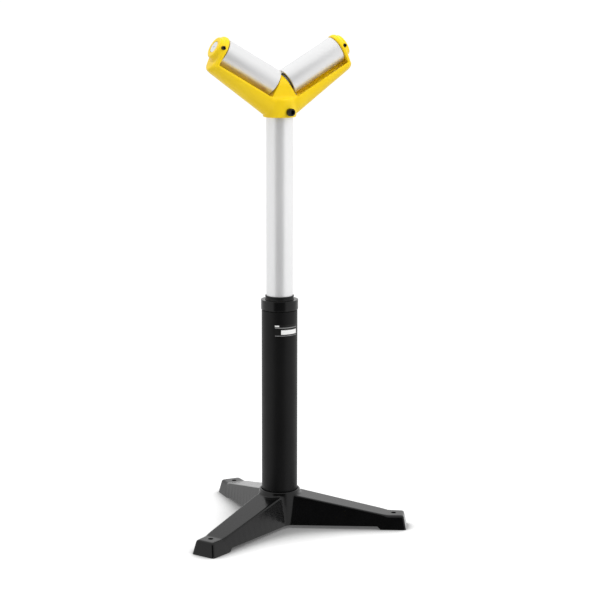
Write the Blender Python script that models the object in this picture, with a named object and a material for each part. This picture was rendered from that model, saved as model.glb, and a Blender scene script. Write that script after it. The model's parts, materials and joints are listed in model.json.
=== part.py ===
"""Telescopic roller stand: a cast tripod base, a two-tube column and a V head with two
ball-bearing rollers. Metres, +Z up. The origin lies on the floor at the middle of the
footprint, the V opens in a plane along X, and the clamp screw faces the front at -Y."""

import math

import bmesh
import bpy
from mathutils import Matrix, Vector

MM = 0.001
DEG = math.pi / 180

# Clearances and cuts
FIT_GAP = 0.3 * MM
OVERRUN = 5 * MM
WELD = 0.0005 * MM

# Numbers of sides and steps of round pieces
WIDE_SIDES = 36
BOSS_SIDES = 20
BEARING_SIDES = 18
SCREW_SIDES = 12
FILLET_STEPS = 3
EDGE_STEPS = 2
ARCH_STEPS = 10
GROOVE_STEPS = 2
SMOOTH_ANGLE = 35 * DEG

# Tripod base
LEG_COUNT = 3
FIRST_LEG_ANGLE = -30 * DEG
FOOT_END = 274 * MM
FOOT_END_DRAFT = 6 * MM
PAD_LENGTH = 52.5 * MM
PAD_HEIGHT = 7 * MM
PAD_LEAN = 7 * MM
TOE_LENGTH = 40 * MM
TOE_HEIGHT = 30 * MM
TOE_WIDTH = 47 * MM
TOE_END_WIDTH = 43 * MM
LEG_ROOT_HEIGHT = 70 * MM
LEG_ROOT_WIDTH = 59 * MM
LEG_SPREAD = 6.5 * MM
LEG_WALL = 7 * MM
LEG_ROUND = 4 * MM
BOLT_TO_END = 28 * MM
BOLT_HOLE_RADIUS = 5.5 * MM
HUB_HEIGHT = 80 * MM
HUB_WALL = 5.7 * MM
HUB_DRAFT = 1 * MM
HUB_ROUND = 1.5 * MM
SOCKET_FLOOR = 9 * MM
SOCKET_CHAMFER = 1 * MM
DRAIN_RADIUS = 10 * MM
BASE_SCREW_HEIGHT = 45 * MM
BASE_SCREW_ANGLES = {"right": 30 * DEG, "left": 150 * DEG}

# Outer column, collar and guide bush
COLUMN_RADIUS = 38 * MM
COLUMN_WALL = 3 * MM
COLUMN_LENGTH = 454.7 * MM
COLUMN_CHAMFER = 0.8 * MM
COLLAR_RADIUS = 39.5 * MM
COLLAR_HEIGHT = 22 * MM
COLLAR_CHAMFER = 1 * MM
SPIGOT_LENGTH = 12 * MM
BUSH_WALL = 2.2 * MM
BUSH_NOSE = 8.7 * MM
BUSH_FLANGE = 3 * MM
BUSH_CHAMFER = 0.8 * MM

# Lock screw with its knob
LOCK_ANGLE = 65 * DEG
LOCK_RADIUS = 5 * MM
LOCK_PAD_RADIUS = 4 * MM
LOCK_PAD_LENGTH = 3 * MM
KNOB_STANDOFF = 4.5 * MM
KNOB_BOSS_RADIUS = 10 * MM
KNOB_BOSS_LENGTH = 6 * MM
KNOB_RADIUS = 20 * MM
KNOB_SCALLOP = 2.6 * MM
KNOB_THICKNESS = 14 * MM
KNOB_ROUND = 2.5 * MM
KNOB_LOBES = 5
KNOB_SIDES = 25
KNOB_BORE_DEPTH = 15 * MM

# Inner column with its guide ring and retaining rings
MAST_RADIUS = 28 * MM
MAST_WALL = 3 * MM
MAST_LENGTH = 519 * MM
MAST_OVERLAP = 75.7 * MM
MAST_TAIL = 2 * MM
GUIDE_HEIGHT = 22 * MM
RING_THICKNESS = 2.5 * MM
RING_STEP = 2 * MM

# Head casting
SIDES = {"left": -1, "right": 1}
HEAD_HUB_RADIUS = 35 * MM
HEAD_HUB_HEIGHT = 40 * MM
HEAD_HUB_ROUND = 2 * MM
HEAD_SOCKET_DEPTH = 36 * MM
VERTEX_HEIGHT = 62.3 * MM
ROLLER_ANGLE = 30 * DEG
ARM_WIDTH = 58 * MM
ARM_WALL = 7 * MM
ARM_FLOOR = 8 * MM
ARM_ROOT_HEIGHT = 4.1 * MM
ARM_UNDER_ANGLE = 36.7 * DEG
ARM_END_ROUND = 16 * MM
ARM_LOW_ROUND = 3 * MM
ARM_END_STEP = 6.5 * MM
RIM_DROP = 31 * MM
EAR_RADIUS = 30 * MM
EAR_THICKNESS = 14 * MM
EAR_ROUND = 8 * MM
EAR_EDGE = 1.5 * MM
EAR_LEAN = 6.5 * MM
EAR_BASE_WIDTH = 50 * MM
BOSS_RADIUS = 22.5 * MM
BOSS_FOOT_RADIUS = 25 * MM
BOSS_HEIGHT = 5 * MM
BOSS_ROUND = 2 * MM
WEB_RADIUS = 25 * MM
WEB_BASE_WIDTH = 54 * MM
WEB_GAP = 4 * MM
CLAMP_ANGLE = -81 * DEG
CLAMP_HEIGHT = 12 * MM
CLAMP_RADIUS = 5 * MM
CLAMP_HEAD_RADIUS = 8 * MM
CLAMP_HEAD_LENGTH = 12 * MM
CLAMP_STANDOFF = 1 * MM
CLAMP_HEX = 4.6 * MM

# Rollers, axles and ball bearings
ROLLER_RADIUS = 28.5 * MM
ROLLER_START = 18.5 * MM
ROLLER_LENGTH = 131 * MM
ROLLER_CHAMFER = 0.6 * MM
ROLLER_STEP = 1.2 * MM
EAR_GAP = 1.5 * MM
AXLE_RADIUS = 12.5 * MM
AXLE_CHAMFER = 0.6 * MM
JOURNAL_RADIUS = 7 * MM
JOURNAL_LENGTH = 8 * MM
SPACER_WALL = 2.4 * MM
BEARING_RADIUS = 23.5 * MM
BEARING_WIDTH = 12 * MM
BEARING_RECESS = 2 * MM
BALL_COUNT = 9
BALL_RADIUS = 3.3 * MM
BALL_SIDES = 6
BALL_RINGS = 4
SHOULDER_DEPTH = 0.7 * MM
CAGE_THICKNESS = 1.6 * MM
CAGE_WIDTH = 4.4 * MM
SHIELD_THICKNESS = 0.8 * MM
SHIELD_RECESS = 0.4 * MM

# Socket set screws
SET_SCREW_RADIUS = 4 * MM
SET_SCREW_HEX = 2.3 * MM
SET_SCREW_HEX_DEPTH = 3 * MM
AXLE_SCREW_TO_FACE = 9.5 * MM
AXLE_SCREW_TILT = 8 * DEG

# Places worked out from the sizes above
HUB_RADIUS = COLUMN_RADIUS + FIT_GAP + HUB_WALL
TOE_START = FOOT_END - TOE_LENGTH
PAD_START = FOOT_END - PAD_LENGTH
SOCKET_BOTTOM = PAD_HEIGHT + SOCKET_FLOOR
COLUMN_BOTTOM = SOCKET_BOTTOM + FIT_GAP
COLUMN_TOP = COLUMN_BOTTOM + COLUMN_LENGTH
COLUMN_BORE = COLUMN_RADIUS - COLUMN_WALL
COLLAR_BOTTOM = COLUMN_TOP + FIT_GAP
COLLAR_TOP = COLLAR_BOTTOM + COLLAR_HEIGHT
SPIGOT_RADIUS = COLUMN_BORE - FIT_GAP
SPIGOT_BOTTOM = COLLAR_BOTTOM - SPIGOT_LENGTH
BUSH_BORE = MAST_RADIUS + FIT_GAP
BUSH_RADIUS = BUSH_BORE + BUSH_WALL
LOCK_HEIGHT = COLLAR_BOTTOM + COLLAR_HEIGHT / 2
HEAD_BORE = MAST_RADIUS + FIT_GAP
MAST_BOTTOM = COLUMN_TOP - MAST_OVERLAP
MAST_TOP = MAST_BOTTOM + MAST_LENGTH
HEAD_HEIGHT = MAST_TOP + FIT_GAP - HEAD_SOCKET_DEPTH
ROLLER_END = ROLLER_START + ROLLER_LENGTH
WEB_FACE = ROLLER_START - WEB_GAP
EAR_INNER = ROLLER_END + EAR_GAP
EAR_OUTER = EAR_INNER + EAR_THICKNESS
BOSS_END = EAR_OUTER + BOSS_HEIGHT
ARM_END = EAR_OUTER - ARM_END_STEP
EAR_FOOT = RIM_DROP + ARM_FLOOR
AXLE_BORE = AXLE_RADIUS + FIT_GAP
BALL_PITCH = (AXLE_BORE + BEARING_RADIUS) / 2
INNER_SHOULDER = BALL_PITCH - BALL_RADIUS + SHOULDER_DEPTH
OUTER_SHOULDER = BALL_PITCH + BALL_RADIUS - SHOULDER_DEPTH


def footprint_middle():
    """How far the middle of the footprint lies from the column's axis, along +Y."""
    half = leg_half_width(FOOT_END, 0)
    angles = [FIRST_LEG_ANGLE + math.tau * leg / LEG_COUNT for leg in range(LEG_COUNT)]
    reach = [
        FOOT_END * math.sin(angle) + side * half * math.cos(angle)
        for angle in angles
        for side in (-1, 1)
    ]
    return (max(reach) + min(reach)) / 2


def leg_top(radius):
    """Height of a leg's top face at this distance from the column's axis."""
    rise = (LEG_ROOT_HEIGHT - TOE_HEIGHT) / (TOE_START - HUB_RADIUS)
    return TOE_HEIGHT + max(0, TOE_START - radius) * rise


def leg_half_width(radius, height):
    """Half the leg's width at this distance and height. It spreads towards the floor."""
    if radius < TOE_START:
        share = (TOE_START - radius) / (TOE_START - HUB_RADIUS)
        width = TOE_WIDTH + (LEG_ROOT_WIDTH - TOE_WIDTH) * share
    else:
        share = (radius - TOE_START) / TOE_LENGTH
        width = TOE_WIDTH + (TOE_END_WIDTH - TOE_WIDTH) * share
    return width / 2 + LEG_SPREAD * (1 - height / leg_top(radius))


def v_direction(along, off, side):
    """A direction in the plane of the V, from its shares along and off one roller's axis."""
    x = along * math.cos(ROLLER_ANGLE) - off * math.sin(ROLLER_ANGLE)
    z = along * math.sin(ROLLER_ANGLE) + off * math.cos(ROLLER_ANGLE)
    return Vector((side * x, 0, z))


def v_point(along, off, side, y=0):
    """A point of the head, from its place along and off one roller's axis."""
    return Vector((0, y, VERTEX_HEIGHT)) + v_direction(along, off, side)


def roller_frame(side):
    """The roller's own frame in the head: Z along its axis outwards, X away from the arm."""
    along = v_direction(1, 0, side)
    off = v_direction(0, 1, side)
    turn = Matrix((off, along.cross(off), along)).transposed()
    return Matrix.Translation(v_point(0, 0, side)) @ turn.to_4x4()


def radial_frame(angle, height):
    """A frame whose Z points outwards from the column's axis at this angle and height."""
    turn = Matrix.Rotation(angle, 4, "Z") @ Matrix.Rotation(math.pi / 2, 4, "Y")
    return Matrix.Translation((0, 0, height)) @ turn


# Shapes
def finished(shape):
    """The mesh of a closed bmesh, its faces pointing out."""
    bmesh.ops.remove_doubles(shape, verts=shape.verts, dist=WELD)
    bmesh.ops.recalc_face_normals(shape, faces=shape.faces)
    mesh = bpy.data.meshes.new("shape")
    shape.to_mesh(mesh)
    shape.free()
    return mesh


def turned(outline, sides=WIDE_SIDES):
    """A closed outline of (radius, height) points turned about Z."""
    shape = bmesh.new()
    points = [shape.verts.new((radius, 0, height)) for radius, height in outline]
    pairs = zip(points, points[1:] + points[:1])
    edges = [shape.edges.new(pair) for pair in pairs if max(p.co.x for p in pair) > 0]
    bmesh.ops.spin(
        shape, geom=points + edges, cent=(0, 0, 0), axis=(0, 0, 1),
        angle=math.tau, steps=sides, use_merge=True,
    )
    return finished(shape)


def tube(outer, inner, low, high, chamfer=0, sides=WIDE_SIDES):
    """A turned ring, chamfered at its outer edges."""
    outline = [
        (inner, low), (outer - chamfer, low), (outer, low + chamfer),
        (outer, high - chamfer), (outer - chamfer, high), (inner, high),
    ]
    return turned([p for n, p in enumerate(outline) if p != outline[n - 1]], sides)


def loft_shape(rings):
    """A bmesh skinned over rings of points, with both ends capped."""
    shape = bmesh.new()
    loops = [[shape.verts.new(point) for point in ring] for ring in rings]
    for low, high in zip(loops, loops[1:]):
        for n in range(len(low)):
            shape.faces.new((low[n - 1], low[n], high[n], high[n - 1]))
    shape.faces.new(loops[0])
    shape.faces.new(loops[-1])
    return shape


def lofted(rings):
    """The closed mesh skinned over rings of points."""
    return finished(loft_shape(rings))


def circle(radius, height, sides=SCREW_SIDES):
    """A ring of points round Z."""
    turns = [math.tau * n / sides for n in range(sides)]
    return [Vector((radius * math.cos(a), radius * math.sin(a), height)) for a in turns]


def hexagon(half_flats, height, sides=SCREW_SIDES):
    """A ring of points along a hexagon round Z, as many as a circle has."""
    ring = []
    for n in range(sides):
        angle = math.tau * n / sides
        from_flat = (angle + math.pi / 6) % (math.pi / 3) - math.pi / 6
        reach = half_flats / math.cos(from_flat)
        ring.append(Vector((reach * math.cos(angle), reach * math.sin(angle), height)))
    return ring


def arc(middle_u, middle_v, radius, start, end, steps=FILLET_STEPS):
    """Points of a round stretch of an outline, both ends included."""
    turns = [start + (end - start) * n / steps for n in range(steps + 1)]
    return [(middle_u + radius * math.cos(a), middle_v + radius * math.sin(a)) for a in turns]


def rounded_edges(shape, wanted, radius, segments=EDGE_STEPS):
    """Rounds the edges of a bmesh that the test picks."""
    picked = [edge for edge in shape.edges if wanted(edge)]
    bmesh.ops.bevel(
        shape, geom=picked, offset=radius, offset_type="OFFSET", segments=segments,
        profile=0.5, affect="EDGES", clamp_overlap=True,
    )


# Objects
def material(name, colour, roughness, metallic):
    """A surface finish."""
    finish = bpy.data.materials.new(name)
    finish.use_nodes = True
    shader = finish.node_tree.nodes["Principled BSDF"]
    shader.inputs["Base Color"].default_value = (*colour, 1)
    shader.inputs["Roughness"].default_value = roughness
    shader.inputs["Metallic"].default_value = metallic
    return finish


def part(name, mesh, finish, parent=None, place=None):
    """A named piece, shaded smooth over its rounds, under its parent's frame."""
    piece = bpy.data.objects.new(name, mesh)
    bpy.context.scene.collection.objects.link(piece)
    mesh.materials.clear()
    mesh.materials.append(finish)
    mesh.shade_smooth()
    mesh.set_sharp_from_angle(angle=SMOOTH_ANGLE)
    piece.parent = parent
    piece.matrix_local = place or Matrix()
    return piece


def frame(name, parent, place):
    """An empty that carries pieces."""
    empty = bpy.data.objects.new(name, None)
    bpy.context.scene.collection.objects.link(empty)
    empty.parent = parent
    empty.matrix_local = place
    return empty


def joined(mesh, other, operation, place=None):
    """The mesh after a Boolean with the other one, which stands at the given place. The
    default solver leaves open edges where a leg's pocket meets the hub."""
    body = bpy.data.objects.new("body", mesh)
    tool = bpy.data.objects.new("tool", other)
    for helper in (body, tool):
        bpy.context.scene.collection.objects.link(helper)
    tool.matrix_world = place or Matrix()
    modifier = body.modifiers.new(operation, "BOOLEAN")
    modifier.operation = operation
    modifier.solver = "MANIFOLD"
    modifier.object = tool
    graph = bpy.context.evaluated_depsgraph_get()
    graph.update()
    result = bpy.data.meshes.new_from_object(body.evaluated_get(graph))
    for helper in (body, tool):
        bpy.data.objects.remove(helper)
    for used in (mesh, other):
        bpy.data.meshes.remove(used)
    return result


def union(mesh, other, place=None):
    """Both meshes as one body."""
    return joined(mesh, other, "UNION", place)


def cut(mesh, other, place=None):
    """The mesh less the other one."""
    return joined(mesh, other, "DIFFERENCE", place)


def drilled(mesh, radius, low, high, place=None, sides=SCREW_SIDES):
    """The mesh with a round hole along the Z of the given place."""
    return cut(mesh, lofted([circle(radius, low, sides), circle(radius, high, sides)]), place)


# Tripod base
def leg_ring(bottom_radius, top_radius, low, high, inset=0):
    """Four corners of a leg's section."""
    ring = []
    for side, radius, height in (
        (-1, bottom_radius, low), (1, bottom_radius, low),
        (1, top_radius, high), (-1, top_radius, high),
    ):
        half = leg_half_width(radius, height) - inset
        ring.append(Vector((radius, side * half, height)))
    return ring


def leg_mesh():
    """One tapered leg down to the floor, with rounded upper edges."""
    start = HUB_RADIUS / 2
    top_end = FOOT_END - FOOT_END_DRAFT
    shape = loft_shape([
        leg_ring(start, start, 0, leg_top(start)),
        leg_ring(TOE_START, TOE_START, 0, leg_top(TOE_START)),
        leg_ring(FOOT_END, top_end, 0, leg_top(top_end)),
    ])

    def upper(edge):
        """The long upper edges, the toe's upper edge and its two standing edges."""
        radii = [vert.co.x for vert in edge.verts]
        heights = [vert.co.z for vert in edge.verts]
        along = abs(radii[0] - radii[1]) > PAD_HEIGHT and min(heights) > 0
        at_toe = min(radii) > TOE_START + FOOT_END_DRAFT and max(heights) > 0
        return along or at_toe

    rounded_edges(shape, upper, LEG_ROUND)
    return finished(shape)


def leg_pocket():
    """The hollow under one leg, between its walls, the hub and the solid foot."""
    start = HUB_RADIUS + LEG_WALL / 2
    end = PAD_START - PAD_LEAN - LEG_WALL
    shape = loft_shape([
        leg_ring(start, start, -OVERRUN, leg_top(start) - LEG_WALL, LEG_WALL),
        leg_ring(end, end, -OVERRUN, leg_top(end) - LEG_WALL, LEG_WALL),
    ])
    rounded_edges(shape, lambda edge: min(v.co.z for v in edge.verts) > 0, LEG_ROUND)
    return finished(shape)


def base_mesh():
    """The iron casting: hub, three hollow legs, foot pads and bolt holes."""
    high = HUB_HEIGHT - HUB_ROUND
    rim = arc(HUB_RADIUS - HUB_ROUND, high, HUB_ROUND, 0, math.pi / 2, EDGE_STEPS)
    mesh = turned([(0, 0), (HUB_RADIUS + HUB_DRAFT, 0), *rim, (0, HUB_HEIGHT)])
    turns = [
        Matrix.Rotation(FIRST_LEG_ANGLE + math.tau * leg / LEG_COUNT, 4, "Z")
        for leg in range(LEG_COUNT)
    ]
    for turn in turns:
        mesh = union(mesh, leg_mesh(), turn)
    lean = PAD_LEAN / PAD_HEIGHT
    mesh = cut(mesh, turned([
        (0, -OVERRUN), (PAD_START + OVERRUN * lean, -OVERRUN),
        (PAD_START - PAD_LEAN, PAD_HEIGHT), (0, PAD_HEIGHT),
    ]))
    for turn in turns:
        mesh = cut(mesh, leg_pocket(), turn)
        bolt = turn @ Matrix.Translation((FOOT_END - BOLT_TO_END, 0, 0))
        mesh = drilled(mesh, BOLT_HOLE_RADIUS, -OVERRUN, TOE_HEIGHT + OVERRUN, bolt)
    socket = COLUMN_RADIUS + FIT_GAP
    mesh = cut(mesh, turned([
        (0, 0), (DRAIN_RADIUS, 0), (DRAIN_RADIUS, SOCKET_BOTTOM), (socket, SOCKET_BOTTOM),
        (socket, HUB_HEIGHT - SOCKET_CHAMFER),
        (socket + SOCKET_CHAMFER + OVERRUN, HUB_HEIGHT + OVERRUN), (0, HUB_HEIGHT + OVERRUN),
    ]))
    hole = SET_SCREW_RADIUS + FIT_GAP
    for angle in BASE_SCREW_ANGLES.values():
        place = radial_frame(angle, BASE_SCREW_HEIGHT)
        mesh = drilled(mesh, hole, COLUMN_RADIUS, HUB_RADIUS + OVERRUN, place)
    return mesh


def socket_screw(radius, low, high, half_flats, hex_depth):
    """A headless screw along Z with a hexagon socket in its outer end."""
    return lofted([
        circle(radius, low), circle(radius, high),
        hexagon(half_flats, high), hexagon(half_flats, high - hex_depth),
    ])


def build_base(column_axis):
    """The casting and the two screws that hold the column in it."""
    part("base_casting", base_mesh(), IRON, column_axis)
    tip = COLUMN_RADIUS + FIT_GAP
    for side, angle in BASE_SCREW_ANGLES.items():
        screw = socket_screw(
            SET_SCREW_RADIUS, tip, HUB_RADIUS, SET_SCREW_HEX, SET_SCREW_HEX_DEPTH,
        )
        place = radial_frame(angle, BASE_SCREW_HEIGHT)
        part(f"column_set_screw_{side}", screw, BLACK_STEEL, column_axis, place)


# Outer column, collar and bush
def collar_mesh():
    """The collar on the column's top end, its spigot inside the column."""
    bore = BUSH_RADIUS + FIT_GAP
    mesh = turned([
        (bore, SPIGOT_BOTTOM), (SPIGOT_RADIUS, SPIGOT_BOTTOM), (SPIGOT_RADIUS, COLLAR_BOTTOM),
        (COLLAR_RADIUS - COLLAR_CHAMFER, COLLAR_BOTTOM),
        (COLLAR_RADIUS, COLLAR_BOTTOM + COLLAR_CHAMFER),
        (COLLAR_RADIUS, COLLAR_TOP - COLLAR_CHAMFER),
        (COLLAR_RADIUS - COLLAR_CHAMFER, COLLAR_TOP), (bore, COLLAR_TOP),
    ])
    hole = LOCK_RADIUS + FIT_GAP
    place = radial_frame(LOCK_ANGLE, LOCK_HEIGHT)
    return drilled(mesh, hole, MAST_RADIUS, COLLAR_RADIUS + OVERRUN, place)


def bush_mesh():
    """The plastic bush that guides the inner column, held under the spigot by its flange."""
    flange_top = SPIGOT_BOTTOM - FIT_GAP
    flange_bottom = flange_top - BUSH_FLANGE
    top = COLLAR_TOP + BUSH_NOSE
    mesh = turned([
        (BUSH_BORE, flange_bottom), (SPIGOT_RADIUS, flange_bottom), (SPIGOT_RADIUS, flange_top),
        (BUSH_RADIUS, flange_top), (BUSH_RADIUS, top - BUSH_CHAMFER),
        (BUSH_RADIUS - BUSH_CHAMFER, top), (BUSH_BORE, top),
    ])
    hole = LOCK_PAD_RADIUS + FIT_GAP
    place = radial_frame(LOCK_ANGLE, LOCK_HEIGHT)
    return drilled(mesh, hole, MAST_RADIUS - OVERRUN, BUSH_RADIUS + OVERRUN, place)


def build_column(column_axis):
    """The outer column and what guides the inner one in it."""
    column = tube(COLUMN_RADIUS, COLUMN_BORE, COLUMN_BOTTOM, COLUMN_TOP, COLUMN_CHAMFER)
    part("outer_column", column, BLACK_PAINT, column_axis)
    part("column_collar", collar_mesh(), BLACK_PAINT, column_axis)
    part("guide_bush", bush_mesh(), BLACK_PLASTIC, column_axis)


# Lock screw
def lobed(radius, height):
    """A ring of points round Z with rounded lobes."""
    ring = []
    for n in range(KNOB_SIDES):
        angle = math.tau * n / KNOB_SIDES
        reach = radius - KNOB_SCALLOP * (1 - math.cos(KNOB_LOBES * angle)) / 2
        ring.append(Vector((reach * math.cos(angle), reach * math.sin(angle), height)))
    return ring


def knob_mesh(start):
    """The lobed knob on its boss, with a blind bore for the stud."""
    bore = LOCK_RADIUS + FIT_GAP
    body = start + KNOB_BOSS_LENGTH
    top = body + KNOB_THICKNESS
    return lofted([
        circle(bore, start + KNOB_BORE_DEPTH, KNOB_SIDES), circle(bore, start, KNOB_SIDES),
        circle(KNOB_BOSS_RADIUS, start, KNOB_SIDES), circle(KNOB_BOSS_RADIUS, body, KNOB_SIDES),
        lobed(KNOB_RADIUS - KNOB_ROUND, body), lobed(KNOB_RADIUS, body + KNOB_ROUND),
        lobed(KNOB_RADIUS, top - KNOB_ROUND), lobed(KNOB_RADIUS - KNOB_ROUND, top),
    ])


def build_lock(column_axis):
    """The screw that clamps the inner column through the collar, away from the front."""
    axis = frame("lock_axis", column_axis, radial_frame(LOCK_ANGLE, LOCK_HEIGHT))
    pad_end = BUSH_BORE + LOCK_PAD_LENGTH
    pad = lofted([circle(LOCK_PAD_RADIUS, BUSH_BORE), circle(LOCK_PAD_RADIUS, pad_end)])
    part("lock_pad", pad, BRASS, axis)
    stud_start = pad_end + FIT_GAP
    knob_start = COLLAR_RADIUS + KNOB_STANDOFF
    stud_end = knob_start + KNOB_BORE_DEPTH - FIT_GAP
    stud = lofted([circle(LOCK_RADIUS, stud_start), circle(LOCK_RADIUS, stud_end)])
    part("lock_stud", stud, BRIGHT_STEEL, axis)
    part("lock_knob", knob_mesh(knob_start), BLACK_PLASTIC, axis)


# Inner column
def build_mast(column_axis):
    """The inner column and the rings at its lower end."""
    column = tube(MAST_RADIUS, MAST_RADIUS - MAST_WALL, MAST_BOTTOM, MAST_TOP)
    part("inner_column", column, BRIGHT_STEEL, column_axis)
    bore = MAST_RADIUS + FIT_GAP
    guide_radius = COLUMN_BORE - FIT_GAP
    low = MAST_BOTTOM + MAST_TAIL
    for name, outer, height, finish in (
        ("retaining_ring", guide_radius - RING_STEP, RING_THICKNESS, BLACK_STEEL),
        ("lower_guide_ring", guide_radius, GUIDE_HEIGHT, BLACK_PLASTIC),
        ("stop_ring", guide_radius - RING_STEP, RING_THICKNESS, BLACK_STEEL),
    ):
        part(name, tube(outer, bore, low, low + height), finish, column_axis)
        low += height + FIT_GAP


# Head casting
def under_height(x):
    """Height of the arms' underside at this distance from the column's axis."""
    return ARM_ROOT_HEIGHT + (x - HEAD_HUB_RADIUS) * math.tan(ARM_UNDER_ANGLE)


def under_end(along, lift):
    """Where a face square to the roller's axis meets the lifted underside."""
    top = v_point(along, -RIM_DROP, 1)
    down = v_direction(0, -1, 1)
    above = top.z - under_height(top.x) - lift
    drop = above / (down.x * math.tan(ARM_UNDER_ANGLE) - down.z)
    return top + down * drop


def rim_point(x):
    """The point of the arms' upper rim at this distance from the column's axis."""
    start = v_point(0, -RIM_DROP, 1)
    return Vector((x, 0, start.z + (x - start.x) * math.tan(ROLLER_ANGLE)))


def trough_ring(top, bottom, half, side):
    """A section of an arm between two points of its middle plane, the half of an ellipse."""
    ring = []
    for across, lift in arc(0, 1, 1, math.pi, math.tau, ARCH_STEPS):
        point = bottom + (top - bottom) * lift
        ring.append(Vector((side * point.x, across * half, point.z)))
    return ring


def arm_mesh(side):
    """One solid arm with a round underside and a rounded end."""
    half = ARM_WIDTH / 2
    foot = HEAD_HUB_RADIUS - ARM_ROOT_HEIGHT / math.tan(ARM_UNDER_ANGLE)
    rings = [trough_ring(rim_point(x), Vector((x, 0, 0)), half, side) for x in (0, foot)]
    for step in range(FILLET_STEPS + 1):
        turn = math.pi / 2 * step / FILLET_STEPS
        along = ARM_END - ARM_END_ROUND * (1 - math.sin(turn))
        top = v_point(along, -RIM_DROP, 1)
        bottom = under_end(along, ARM_LOW_ROUND * (1 - math.cos(turn)))
        inset = ARM_END_ROUND * (1 - math.cos(turn))
        rings.append(trough_ring(top, bottom, half - inset, side))
    return lofted(rings)


def trough_mesh(side):
    """The hollow of one arm, open upwards under the roller."""
    half = ARM_WIDTH / 2 - ARM_WALL
    lift = ARM_FLOOR / math.cos(ARM_UNDER_ANGLE)
    inner = HEAD_BORE + ARM_WALL * 3 / 2
    above = Vector((0, 0, OVERRUN))
    inner_bottom = Vector((inner, 0, under_height(inner) + lift))
    end_top = v_point(EAR_INNER, -RIM_DROP, 1)
    end_bottom = under_end(EAR_INNER, lift)
    return lofted([
        trough_ring(rim_point(inner) + above, inner_bottom, half, side),
        trough_ring(end_top + above, end_bottom, half, side),
    ])


def arch(radius, foot_half, foot):
    """An outline with a half-round top about zero and slanting sides down to its foot."""
    top = arc(0, 0, radius, 0, math.pi, ARCH_STEPS)
    return [(foot_half, foot), *top, (-foot_half, foot)]


def ear_mesh(side):
    """The upright at an arm's end that carries the axle, its outer face leaning in below."""
    places = [(EAR_INNER, EAR_EDGE), (EAR_INNER + EAR_EDGE, 0)]
    for step in range(FILLET_STEPS + 1):
        turn = math.pi / 2 * step / FILLET_STEPS
        along = EAR_OUTER - EAR_ROUND * (1 - math.sin(turn))
        places.append((along, EAR_ROUND * (1 - math.cos(turn))))
    rings = []
    for along, inset in places:
        outline = arch(EAR_RADIUS - inset, EAR_BASE_WIDTH / 2 - inset, -EAR_FOOT)
        slope = EAR_LEAN * (along - EAR_INNER) / EAR_THICKNESS / (EAR_RADIUS + EAR_FOOT)
        rings.append([
            v_point(along - slope * (EAR_RADIUS - off), off, side, y) for y, off in outline
        ])
    return lofted(rings)


def boss_mesh():
    """The raised boss on an ear's outer face, turned about the roller's axis."""
    start = EAR_OUTER - EAR_LEAN - BOSS_HEIGHT
    low = BOSS_END - BOSS_ROUND
    rim = arc(BOSS_RADIUS - BOSS_ROUND, low, BOSS_ROUND, 0, math.pi / 2, EDGE_STEPS)
    return turned([
        (0, start), (BOSS_FOOT_RADIUS, start), (BOSS_FOOT_RADIUS, EAR_OUTER - EAR_LEAN),
        (BOSS_RADIUS, EAR_OUTER), *rim, (0, BOSS_END),
    ], BOSS_SIDES)


def web_mesh():
    """The wedge between the rollers that carries their inner axle ends."""
    foot = HEAD_HUB_HEIGHT - ARM_FLOOR - VERTEX_HEIGHT
    half = HEAD_HUB_RADIUS + ARM_WALL
    outline = arch(WEB_RADIUS, WEB_BASE_WIDTH / 2, foot)
    shape = loft_shape([
        [Vector((x, y, VERTEX_HEIGHT + off)) for y, off in outline] for x in (-half, half)
    ])
    for side in (-1, 1):
        face = v_point(WEB_FACE, 0, side)
        everything = shape.verts[:] + shape.edges[:] + shape.faces[:]
        sliced = bmesh.ops.bisect_plane(
            shape, geom=everything, plane_co=face, plane_no=face - v_point(0, 0, side),
            clear_outer=True,
        )
        rim = [item for item in sliced["geom_cut"] if isinstance(item, bmesh.types.BMEdge)]
        bmesh.ops.edgeloop_fill(shape, edges=rim)
    return finished(shape)


def head_mesh():
    """The V head: hub, two trough-shaped arms, two ears with bosses and the middle web."""
    flat = HEAD_HUB_RADIUS - HEAD_HUB_ROUND
    low = HEAD_HUB_ROUND
    high = HEAD_HUB_HEIGHT - HEAD_HUB_ROUND
    low_edge = arc(flat, low, HEAD_HUB_ROUND, -math.pi / 2, 0, EDGE_STEPS)
    top_edge = arc(flat, high, HEAD_HUB_ROUND, 0, math.pi / 2, EDGE_STEPS)
    mesh = turned([(0, 0), *low_edge, *top_edge, (0, HEAD_HUB_HEIGHT)])
    for side in (-1, 1):
        mesh = union(mesh, arm_mesh(side))
    mesh = union(mesh, web_mesh())
    for side in (-1, 1):
        axis = roller_frame(side)
        mesh = union(mesh, ear_mesh(side))
        mesh = union(mesh, boss_mesh(), axis)
        mesh = cut(mesh, trough_mesh(side))
        mesh = drilled(
            mesh, AXLE_BORE, EAR_INNER - OVERRUN, BOSS_END + OVERRUN, axis, BEARING_SIDES,
        )
        journal = JOURNAL_RADIUS + FIT_GAP
        journal_end = WEB_FACE - JOURNAL_LENGTH - FIT_GAP
        mesh = drilled(mesh, journal, journal_end, WEB_FACE + OVERRUN, axis, BEARING_SIDES)
        hole = SET_SCREW_RADIUS + FIT_GAP
        mesh = drilled(mesh, hole, AXLE_RADIUS, EAR_RADIUS + OVERRUN, axle_screw_frame(side))
    mesh = cut(mesh, turned([
        (0, -OVERRUN), (HEAD_BORE, -OVERRUN), (HEAD_BORE, HEAD_SOCKET_DEPTH),
        (0, HEAD_SOCKET_DEPTH),
    ]))
    clamp = clamp_frame()
    return drilled(mesh, CLAMP_RADIUS + FIT_GAP, MAST_RADIUS, HEAD_HUB_RADIUS + OVERRUN, clamp)


def clamp_frame():
    """The clamp screw's frame in the head, Z pointing out at the front."""
    return radial_frame(CLAMP_ANGLE, CLAMP_HEIGHT)


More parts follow.
